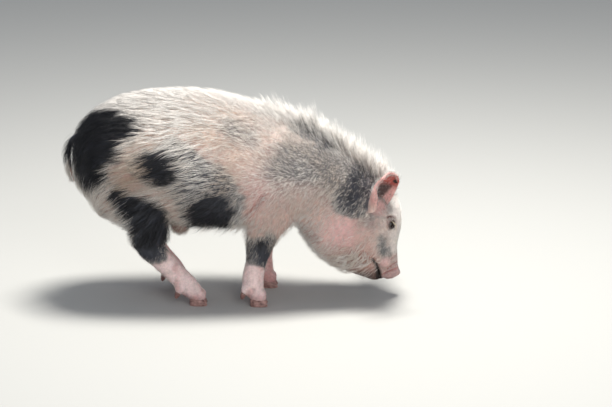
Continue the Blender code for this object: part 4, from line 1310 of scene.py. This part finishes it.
def coat_lie(places):
    """The way the hair lies, before it is turned along the skin: back, but down on rump and legs, down
    and back on the jaw, and up on the face."""
    x, _, z = places.T
    count = len(places)
    lie = np.stack([-np.ones(count), np.zeros(count), -0.10 - 0.75 * ramp(0.30, 0.17, z)], 1)
    down = np.maximum(ramp(-0.215, -0.285, x), np.where(x < 0.115, ramp(0.19, 0.13, z), 0.0))
    layers = (
        (np.array((-0.30, 0.0, -1.0)), down),
        (np.array((-0.85, 0.0, -0.45)), ramp(0.15, 0.22, x) * ramp(0.20, 0.14, z)),
        (np.array((-0.35, 0.0, 0.95)), ramp(0.262, 0.300, x) * ramp(0.26, 0.20, z)),
    )
    lie = layered(lie, layers)
    lie[:, 2] += 0.28 * ripple(places, 0.060, 21)
    return unit(lie)


def coat_length(places):
    """How long the hair is: longest on the hindquarters and back, short on shoulder, cheek and legs."""
    x, _, z = places.T
    length = 0.046 - 0.024 * ramp(-0.13, 0.01, x) - 0.007 * ramp(0.04, 0.12, x)
    length += 0.012 * ramp(0.34, 0.39, z) * ramp(-0.10, 0.02, x)
    length = np.where(x < 0.115, 0.009 + (length - 0.009) * ramp(0.115, 0.180, z), length)
    nose = np.hypot(x - 0.300, z - 0.040)
    face = np.where(x > 0.16, ramp(0.045, 0.150, nose), 1.0)
    face = np.minimum(face, 1.0 - 0.60 * ramp(0.262, 0.295, x) * (1.0 - ramp(0.21, 0.25, z)))
    length = length * np.maximum(0.24, face)
    return np.maximum(0.0055, length * (1.0 - 0.45 * oval(places, (0.215, 0.135), (0.040, 0.034))))


# %% [markdown]
# ## Planting tufts
# Each tuft is a thin three-sided spike of a few hairs. Roots are drawn at random over the skin's
# triangles, by area. Neighbours lean together into locks, as damp bristles do, which draws the streaks
# that a coat shows from a step away. All tufts of a piece are joined in one mesh, made from arrays.

# %% Roots
def ground_of(piece):
    """A piece's triangles: corner places, corner ways out, corners on the unwrap, and areas."""
    mesh = piece.data
    mesh.calc_loop_triangles()
    count = len(mesh.loop_triangles)
    corners, loops = np.empty(count * 3, int), np.empty(count * 3, int)
    mesh.loop_triangles.foreach_get("vertices", corners)
    mesh.loop_triangles.foreach_get("loops", loops)
    flat = np.empty(len(mesh.loops) * 2)
    mesh.uv_layers[BAKE_MAP].uv.foreach_get("vector", flat)
    places, outward = points_of(mesh)
    corners, loops = corners.reshape(-1, 3), loops.reshape(-1, 3)
    at = places[corners]
    areas = np.linalg.norm(np.cross(at[:, 1] - at[:, 0], at[:, 2] - at[:, 0]), axis=1) / 2
    return at, outward[corners], flat.reshape(-1, 2)[loops], areas


def planted(ground, count, density, seed):
    """Roots over a surface, thicker where the density is higher: place, way out, place on the unwrap."""
    at, outward, plan, areas = ground
    draw = np.random.default_rng(seed)
    weight = areas * density(at.mean(axis=1), unit(outward.mean(axis=1)))
    chosen = draw.choice(len(areas), size=count, p=weight / weight.sum())
    shares = draw.dirichlet((1.0, 1.0, 1.0), size=count)[:, :, None]
    root = (at[chosen] * shares).sum(axis=1)
    return root, unit((outward[chosen] * shares).sum(axis=1)), (plan[chosen] * shares).sum(axis=1), draw


skin_ground = ground_of(skin)
print("ground of", len(skin_ground[0]), "triangles")

# %% Tuft meshes
PATCH = 0.003
ROOT_SUNK = 0.0015


def tuft_mesh(name, spine, side, ridge, tones, plan):
    """Joins spikes into one mesh. The spine holds each tuft's places from root to tip; side and ridge
    are its half width and its thickness there. The last place is the point."""
    count, rings = spine.shape[0], spine.shape[1] - 1
    around = np.stack([-side - ridge * 0.5, ridge, side - ridge * 0.5], axis=2)
    body = spine[:, :rings, None, :] + around[:, :rings]
    points = np.concatenate([body.reshape(count, rings * 3, 3), spine[:, rings:, :]], axis=1)
    per = rings * 3 + 1
    faces, sizes = [2, 1, 0], [3]
    for ring in range(rings - 1):
        for corner in range(3):
            after = (corner + 1) % 3
            start = ring * 3
            faces += [start + corner, start + after, start + 3 + after, start + 3 + corner]
            sizes.append(4)
    for corner in range(3):
        faces += [(rings - 1) * 3 + corner, (rings - 1) * 3 + (corner + 1) % 3, per - 1]
        sizes.append(3)
    faces, sizes = np.array(faces), np.array(sizes)
    loops = (faces[None, :] + per * np.arange(count)[:, None]).ravel()
    lengths = np.tile(sizes, count)
    mesh = bpy.data.meshes.new(name)
    mesh.vertices.add(count * per)
    mesh.vertices.foreach_set("co", points.ravel())
    mesh.loops.add(len(loops))
    mesh.loops.foreach_set("vertex_index", loops)
    mesh.polygons.add(len(lengths))
    mesh.polygons.foreach_set("loop_start", np.concatenate([[0], np.cumsum(lengths)[:-1]]))
    mesh.update(calc_edges=True)
    ring_of = np.append(np.repeat(np.arange(rings), 3), rings) / rings
    corner_of = np.append(np.tile(np.arange(3), rings), 1) / 2
    spread = (np.stack([corner_of, ring_of], 1) - 0.5) * PATCH
    patches = plan[:, None, :] + spread[faces][None, :, :]
    layer = mesh.uv_layers.new(name=BAKE_MAP)
    layer.uv.foreach_set("vector", patches.ravel())
    piece = bpy.data.objects.new(name, mesh)
    bpy.context.scene.collection.objects.link(piece)
    paint_points(piece, np.repeat(tones, per, axis=0))
    mesh.shade_smooth()
    return piece


# %% Shaping tufts
def gathered(root, tip, draw, pull, size):
    """Pulls tips towards that of a leader near by, shared by about size tufts; gives the leaders too."""
    count = len(root)
    leaders = draw.choice(count, size=max(1, count // size), replace=False)
    tree = KDTree(len(leaders))
    for index, leader in enumerate(leaders):
        tree.insert(root[leader], index)
    tree.balance()
    mine = leaders[[tree.find(place)[1] for place in root]]
    share = (pull * draw.uniform(0.5, 1.0, count))[:, None]
    return tip * (1.0 - share) + (tip[mine] + (root - root[mine]) * 0.25) * share, mine


def laid(places):
    """The skin under each place, and the way out there."""
    found = [skin_tree.find_nearest(place)[:2] for place in places]
    return np.array([place for place, _ in found]), np.array([facing for _, facing in found])


def grown(root, outward, lie, length, rise, width, steps, draw, pulls=(), bend=1.0, wave=0.0, hug=False):
    """Spines, half widths and ridges of tufts, and their leaders. Tufts that hug follow the skin."""
    count = len(root)
    along = unit(lie - outward * (lie * outward).sum(1)[:, None])
    across = np.cross(along, outward)
    along = unit(along + across * draw.normal(0.0, 0.18, count)[:, None])
    tip = root + along * length[:, None]
    mine = np.arange(count)
    for pull, size in pulls:
        tip, mine = gathered(root, tip, draw, pull, size)
    across = unit(np.cross(tip - root, outward))
    phase = draw.uniform(0.0, 2.0 * math.pi, count)[mine]
    swing = wave * draw.uniform(0.5, 1.0, count)
    spine = [root - outward * ROOT_SUNK]
    for step in range(1, steps + 1):
        share = step / steps
        sway = np.sin(phase + share * 1.5 * math.pi) - np.sin(phase)
        place = root + (tip - root) * share + across * (swing * sway)[:, None]
        base, facing = laid(place) if hug else (place, outward)
        spine.append(base + facing * (rise * (1.0 - (1.0 - share) ** (1.0 + bend)))[:, None])
    spine = np.stack(spine, axis=1)
    taper = np.interp(np.linspace(0.0, 1.0, steps + 1), (0.0, 0.35, 1.0), (0.8, 1.0, 0.0))
    side = across[:, None] * (width[:, None] * taper)[:, :, None]
    ridge = outward[:, None] * (width[:, None] * taper * 0.5)[:, :, None]
    return (spine, side, ridge), mine


# %% [markdown]
# ## Hair, as a material
# A bristle is a horny fibre with a soft shine along it. Each tuft carries its own colour from its root,
# so the material adds only fine streaks and the shine, rougher than bare horn because many hairs point
# many ways.

# %% Hair material and colours
def hair_finish():
    material, tree, shader = finish_named("pig_bristle", {"Roughness": 0.42, "IOR": 1.5})
    streak = texture(tree, "ShaderNodeTexNoise", 0.0025, {"Detail": 2.0})
    shaded(tree, shader, streak, 0.86, 1.08)
    return material


bristle = hair_finish()
CREAM, STRAW, BLACK_HAIR = tone("#f6f2ed"), tone("#c4a78a"), tone("#101118")
# How far along a tuft the part lies that shows most
VISIBLE_AT = 0.60


def hair_tones(places, draw, mine):
    """Cream or straw, with black where the spots show: each hair is one or the other."""
    count = len(places)
    warm = 0.22 + 0.20 * ripple(places, 0.05, 31) + draw.normal(0.0, 0.16, count)
    warm = np.clip(warm + 0.25 * oval(places, (-0.200, 0.230), (0.045, 0.040)), 0.0, 1.0)
    warm *= ramp(0.40, 0.28, places[:, 2]) * 0.85 + 0.15
    warm *= 1.0 - 0.75 * ramp(0.23, 0.28, places[:, 0]) * ramp(0.06, 0.10, places[:, 2])
    black = (draw.random(count) < blackness(places)).astype(float)
    tones = layered(CREAM, ((STRAW, warm), (BLACK_HAIR, black)))
    return tones * (draw.uniform(0.84, 1.06, count)[mine] * draw.uniform(0.88, 1.06, count))[:, None]


def seen_at(parts):
    """The place along each tuft that shows most, past the roots that its neighbours cover."""
    spine = parts[0]
    return spine[:, 0] * (1.0 - VISIBLE_AT) + spine[:, -1] * VISIBLE_AT


def coat_piece(name, plan, parts, tones):
    """A finished piece of coat."""
    piece = tuft_mesh(name, *parts, tones, plan)
    piece.data.materials.append(bristle)
    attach(piece, "root")
    print(name, len(tones), "tufts")


def coat_pieces(name, zones, plan, parts, tones):
    """One piece for each zone, so that none is too heavy."""
    for zone in np.unique(zones):
        chosen = zones == zone
        coat_piece(f"{name}_{zone}", plan[chosen], [part[chosen] for part in parts], tones[chosen])


# %% [markdown]
# ## The body's long coat
# Long tufts cover the torso, neck and jowl, in zones small enough to keep each piece light. They are the
# streaks that the eye follows, so they hug the body and are drawn into locks of three sizes.

# %% Long coat
LONG_COUNT = 44000
# Where the hair begins round an eye, from its middle
EYE_CLEAR = (0.0142, 0.0178)
# Where the coat is divided, along the pig
ZONE_EDGES = (-0.20, -0.10, 0.0, 0.10, 0.20)


def off_eyes_and_ears(places):
    """0 over the lids and in the cups of the ears, and 1 away from them."""
    clear = np.ones(len(places))
    for side, (centre, _) in eyes.items():
        clear *= ramp(*EYE_CLEAR, np.linalg.norm(places - np.array(centre), axis=1))
        height, aside = ear_shares(side, places)
        ahead = (places - np.array(ear_axes(side)[0])) @ np.array(ear_axes(side)[3])
        cup = (np.abs(height - 0.2) < 0.3) & (aside < 0.55) & (ahead > -0.002) & (ahead < 0.022)
        clear[cup] = 0.0
    return clear


def body_density(places):
    """Where the body's coat grows: thin on the bare jowl and under the jaw, and in the elbow's pit."""
    elbow = oval(places, (0.042, 0.190), (0.034, 0.044))
    jowl = oval(places, (0.214, 0.135), (0.036, 0.032))
    jaw = oval(places, (0.238, 0.070), (0.060, 0.036))
    bare = (1.0 - 0.60 * elbow) * (1.0 - 0.72 * jowl) * (1.0 - 0.93 * jaw)
    return ramp(0.002, 0.0085, coat_depth(places)) * off_eyes_and_ears(places) * bare


def long_density(places, _):
    """Thicker along the back, and thinner from the shoulder forwards."""
    x, _, z = places.T
    thick_back = 1.0 + 0.6 * ramp(0.33, 0.38, z)
    return body_density(places) * thick_back * (1.0 - 0.25 * ramp(-0.02, 0.08, x))


root, outward, plan, draw = planted(skin_ground, LONG_COUNT, long_density, 41)
behind = ramp(0.04, -0.12, root[:, 0])
on_back = ramp(0.31, 0.37, root[:, 2])
length = coat_length(root) * draw.uniform(0.75, 1.15, LONG_COUNT)
rise = coat_depth(root) * draw.uniform(0.30, 0.95, LONG_COUNT)
width = draw.uniform(0.7, 1.3, LONG_COUNT) * (0.00015 + 0.00010 * behind + 0.00010 * on_back)
# How strongly tufts lean to their leader, and how many share it, from broad locks to fine ones
pulls = ((0.20, 90), (0.10 + 0.60 * behind, 14), (0.55, 4))
lie = coat_lie(root)
parts, mine = grown(root, outward, lie, length, rise, width, 3, draw, pulls, wave=0.0016, hug=True)
tones = hair_tones(seen_at(parts), draw, mine)
zones = np.digitize(root[:, 0], ZONE_EDGES) * 2 + (root[:, 1] > 0)
coat_pieces("coat", zones, plan, parts, tones)

# %% [markdown]
# ## Front coat
# From mid-body forwards short and fine bristles speckle the skin between the long ones. They are
# thickest below the crest, where the long ones stand too steeply to hide the skin.

# %% Front coat
FRONT_COUNT = 36000
SPECKLE_DEPTH = 0.013


def front_density(places, _):
    """From mid-body forwards, and thickest below the crest."""
    below_crest = on_crest(places) * ramp(0.03, 0.08, places[:, 0])
    return body_density(places) * ramp(-0.10, 0.02, places[:, 0]) * (1.0 + 1.6 * below_crest)


root, outward, plan, draw = planted(skin_ground, FRONT_COUNT, front_density, 47)
length = draw.uniform(0.006, 0.013, FRONT_COUNT)
rise = np.minimum(SPECKLE_DEPTH, coat_depth(root)) * draw.uniform(0.20, 0.75, FRONT_COUNT)
width = draw.uniform(0.00016, 0.00030, FRONT_COUNT)
lie = coat_lie(root) + 0.30 * draw.normal(size=(FRONT_COUNT, 3))
parts, mine = grown(root, outward, lie, length, rise, width, 2, draw, ((0.50, 4),))
coat_pieces("front", (root[:, 1] > 0).astype(int), plan, parts, hair_tones(seen_at(parts), draw, mine))

# %% [markdown]
# ## Short coat
# Short tufts lie close on the face and upper legs. The lower legs are nearly bare, and only a fine down
# is left there.

# %% Short coat
SHORT_COUNT = 29000
SHORT_LENGTH = 0.015


def short_density(places, _):
    """Face, ears' roots and upper legs, thinning out down the legs; none on the snout's disc or lids."""
    x, _, z = places.T
    disc = ramp(0.022, 0.034, np.linalg.norm(places - SNOUT_MIDDLE, axis=1))
    lips = ramp(0.005, 0.014, distance_to_path(places, MOUTH_PATH))
    legs = np.where(x < 0.13, 0.22 + 0.40 * ramp(0.085, 0.115, z), 1.0)
    grows = ramp(0.0100, 0.004, coat_depth(places)) * legs * disc * lips * ramp(0.016, 0.040, z)
    face = 1.0 + 1.2 * ramp(0.270, 0.300, x) * ramp(0.080, 0.110, z)
    face = face * (1.0 - 0.92 * oval(places, (0.254, 0.056), (0.040, 0.036)))
    return grows * face * off_eyes_and_ears(places)


root, outward, plan, draw = planted(skin_ground, SHORT_COUNT, short_density, 42)
length = np.minimum(coat_length(root), SHORT_LENGTH) * draw.uniform(0.7, 1.2, SHORT_COUNT)
rise = length * draw.uniform(0.08, 0.26, SHORT_COUNT)
width = draw.uniform(0.00010, 0.00018, SHORT_COUNT)
parts, mine = grown(root, outward, coat_lie(root), length, rise, width, 2, draw, ((0.30, 9),))
tones = hair_tones(seen_at(parts), draw, mine)
coat_pieces("down", (root[:, 0] > 0.15).astype(int), plan, parts, tones)

# %% [markdown]
# ## The crest
# The longest bristles stand along the middle of the back, from the withers to between the ears. They
# leave the skin steeply, then bend back. Most are pale, which lights the whole top line.

# %% Crest bristles
CREST_COUNT = 4400
SPIKE_SIZE = 0.011
PALE_SHARE = 0.94


def crest_density(places, _):
    """A narrow band along the top line, from the withers to the poll."""
    return np.exp(-((places[:, 1] / 0.024) ** 2)) * ramp(0.02, 0.10, places[:, 0]) * on_crest(places)


root, outward, plan, draw = planted(skin_ground, CREST_COUNT, crest_density, 43)
tall = coat_depth(root) * (0.80 + 0.42 * ripple(root, SPIKE_SIZE, 51))
length = (0.012 + 0.60 * tall) * draw.uniform(0.7, 1.3, CREST_COUNT)
rise = tall * draw.uniform(0.55, 1.10, CREST_COUNT)
width = draw.uniform(0.00030, 0.00060, CREST_COUNT)
lie = coat_lie(root) + 0.20 * draw.normal(size=(CREST_COUNT, 3))
parts, mine = grown(root, outward, lie, length, rise, width, 3, draw, ((0.85, 14),), bend=0.25)
tones = hair_tones(seen_at(parts), draw, mine)
pale = draw.random(CREST_COUNT) < PALE_SHARE
tones[pale] = CREAM * draw.uniform(0.94, 1.10, int(pale.sum()))[:, None]
coat_piece("crest", plan, parts, tones)

# %% [markdown]
# ## Beard
# Under the jaw the bristles are long, pale and wavy, and lie back over brown skin. They are thicker than
# the coat's and have more steps, so that each shows as a curl.

# %% Beard
BEARD_COUNT = 900


def beard_density(places, _):
    """Along the underside of the jaw."""
    return oval(places, (0.226, 0.078), (0.034, 0.020)) * ramp(0.10, 0.25, places[:, 0])


root, outward, plan, draw = planted(skin_ground, BEARD_COUNT, beard_density, 44)
length = draw.uniform(0.016, 0.032, BEARD_COUNT)
rise = draw.uniform(0.004, 0.010, BEARD_COUNT)
width = draw.uniform(0.00032, 0.00056, BEARD_COUNT)
lie, pulls = coat_lie(root), ((0.7, 8),)
parts, mine = grown(root, outward, lie, length, rise, width, 6, draw, pulls, wave=0.0055, hug=True)
tones = mixed(CREAM, STRAW, draw.uniform(0.0, 0.5, BEARD_COUNT)[mine])
coat_piece("beard", plan, parts, tones * draw.uniform(0.85, 1.08, BEARD_COUNT)[:, None])

# %% [markdown]
# ## Belly fringe
# Loose hairs hang below the belly and break its line. A few long ones are enough, so they are planted on
# their own, with a steep rise, and kept off the soles, whose skin also faces down.

# %% Belly fringe
FRINGE_COUNT = 650


def fringe_density(places, outward):
    """Under the belly, from the elbows to the flanks."""
    x, y, z = places.T
    belly = ramp(0.175, 0.160, z) * (z > 0.135) * ramp(-0.13, -0.10, x) * ramp(0.075, 0.045, x)
    return belly * ramp(0.0, 0.5, -outward[:, 2]) * ramp(0.01, 0.04, np.abs(y))


root, outward, plan, draw = planted(skin_ground, FRINGE_COUNT, fringe_density, 48)
length = draw.uniform(0.018, 0.030, FRINGE_COUNT)
rise = length * draw.uniform(0.45, 0.85, FRINGE_COUNT)
width = draw.uniform(0.00018, 0.00032, FRINGE_COUNT)
parts, mine = grown(root, outward, coat_lie(root), length, rise, width, 3, draw, ((0.6, 6),))
coat_piece("belly_fringe", plan, parts, hair_tones(seen_at(parts), draw, mine))

# %% [markdown]
# ## Ears' hair and lashes
# The ears have a fringe along their rims, and hairs across the cup darkened as painted shade. Lashes
# are a single row of long pale bristles on the upper lid.

# %% Ear hair
EAR_HAIRS = 1500


def ear_density(side):
    """The rule for one ear: most hairs along the rim, and more in the cup than on the back."""

    def density(places, outward):
        height, aside = ear_shares(side, places)
        inner = ramp(0.1, 0.5, outward @ np.array(ear_axes(side)[3]))
        rim = np.maximum(ramp(0.75, 1.0, aside), ramp(0.80, 1.0, height))
        return ramp(-0.05, 0.10, height) * (0.35 + 1.6 * rim + 0.5 * inner)

    return density


for side, piece in ears.items():
    _, along, _, facing = (np.array(item) for item in ear_axes(side))
    root, outward, plan, draw = planted(ground_of(piece), EAR_HAIRS, ear_density(side), 45)
    height, aside = ear_shares(side, root)
    inner = ramp(0.1, 0.5, outward @ facing)
    rim = np.maximum(ramp(0.70, 1.0, aside), ramp(0.80, 1.0, height))
    length = (0.0050 + 0.0025 * rim + 0.0030 * inner) * draw.uniform(0.6, 1.25, EAR_HAIRS)
    rise = length * (0.25 + 0.30 * rim)
    width = draw.uniform(0.00015, 0.00026, EAR_HAIRS)
    lie = along + 0.35 * draw.normal(size=(EAR_HAIRS, 3))
    parts, _ = grown(root, outward, lie, length, rise, width, 2, draw)
    # Hairs in the cup are darkened as painted shade
    dark = (draw.random(EAR_HAIRS) < 0.75 * inner * (1.0 - rim)).astype(float)
    coat_piece(f"ear_hair_{side}", plan, parts, mixed(CREAM, EAR_FRECKLE_AND_SHADE, dark))

# %% Lashes
LASHES = 22
LASH_YELLOW = tone("#dfd0b4")
LASH_WIDTH = 0.00024
# Where the row stands: how far past the slit's edge, and how far out through the lid
LASH_PAST_SLIT, LASH_OUT = 1.06, 0.55


def plan_under(places):
    """Where the skin nearest to each place lies on the unwrap."""
    flat = np.empty(len(skin.data.loops) * 2)
    skin.data.uv_layers[BAKE_MAP].uv.foreach_get("vector", flat)
    flat = flat.reshape(-1, 2)
    faces = [skin.data.polygons[skin_tree.find_nearest(place)[2]] for place in places]
    return np.array([flat[face.loop_indices[0]] for face in faces])


for side, (centre, radius) in eyes.items():
    across, upward, facing = (np.array(axis) for axis in looks[side].to_3x3().transposed())
    draw = np.random.default_rng(46)
    turn = np.linspace(0.10, 0.90, LASHES) * math.pi + draw.normal(0.0, 0.03, LASHES)
    hand = 1.0 if upward[2] > 0 else -1.0
    rim = across * np.cos(turn)[:, None] * LID_OPENING[0]
    rim = rim + hand * upward * np.sin(turn)[:, None] * LID_OPENING[1]
    root = np.array(centre) + rim * LASH_PAST_SLIT + facing * (radius + LID_THICKNESS * LASH_OUT)
    outward = unit(facing + rim * 40.0)
    lie = facing * 0.2 + hand * upward * -0.5 + np.array((0.5, 0.0, -0.3))
    length = draw.uniform(0.006, 0.010, LASHES)
    width = np.full(LASHES, LASH_WIDTH)
    parts, _ = grown(root, outward, lie, length, length * 0.8, width, 3, draw, bend=1.6)
    coat_piece(f"lashes_{side}", plan_under(root), parts, np.tile(LASH_YELLOW, (LASHES, 1)))
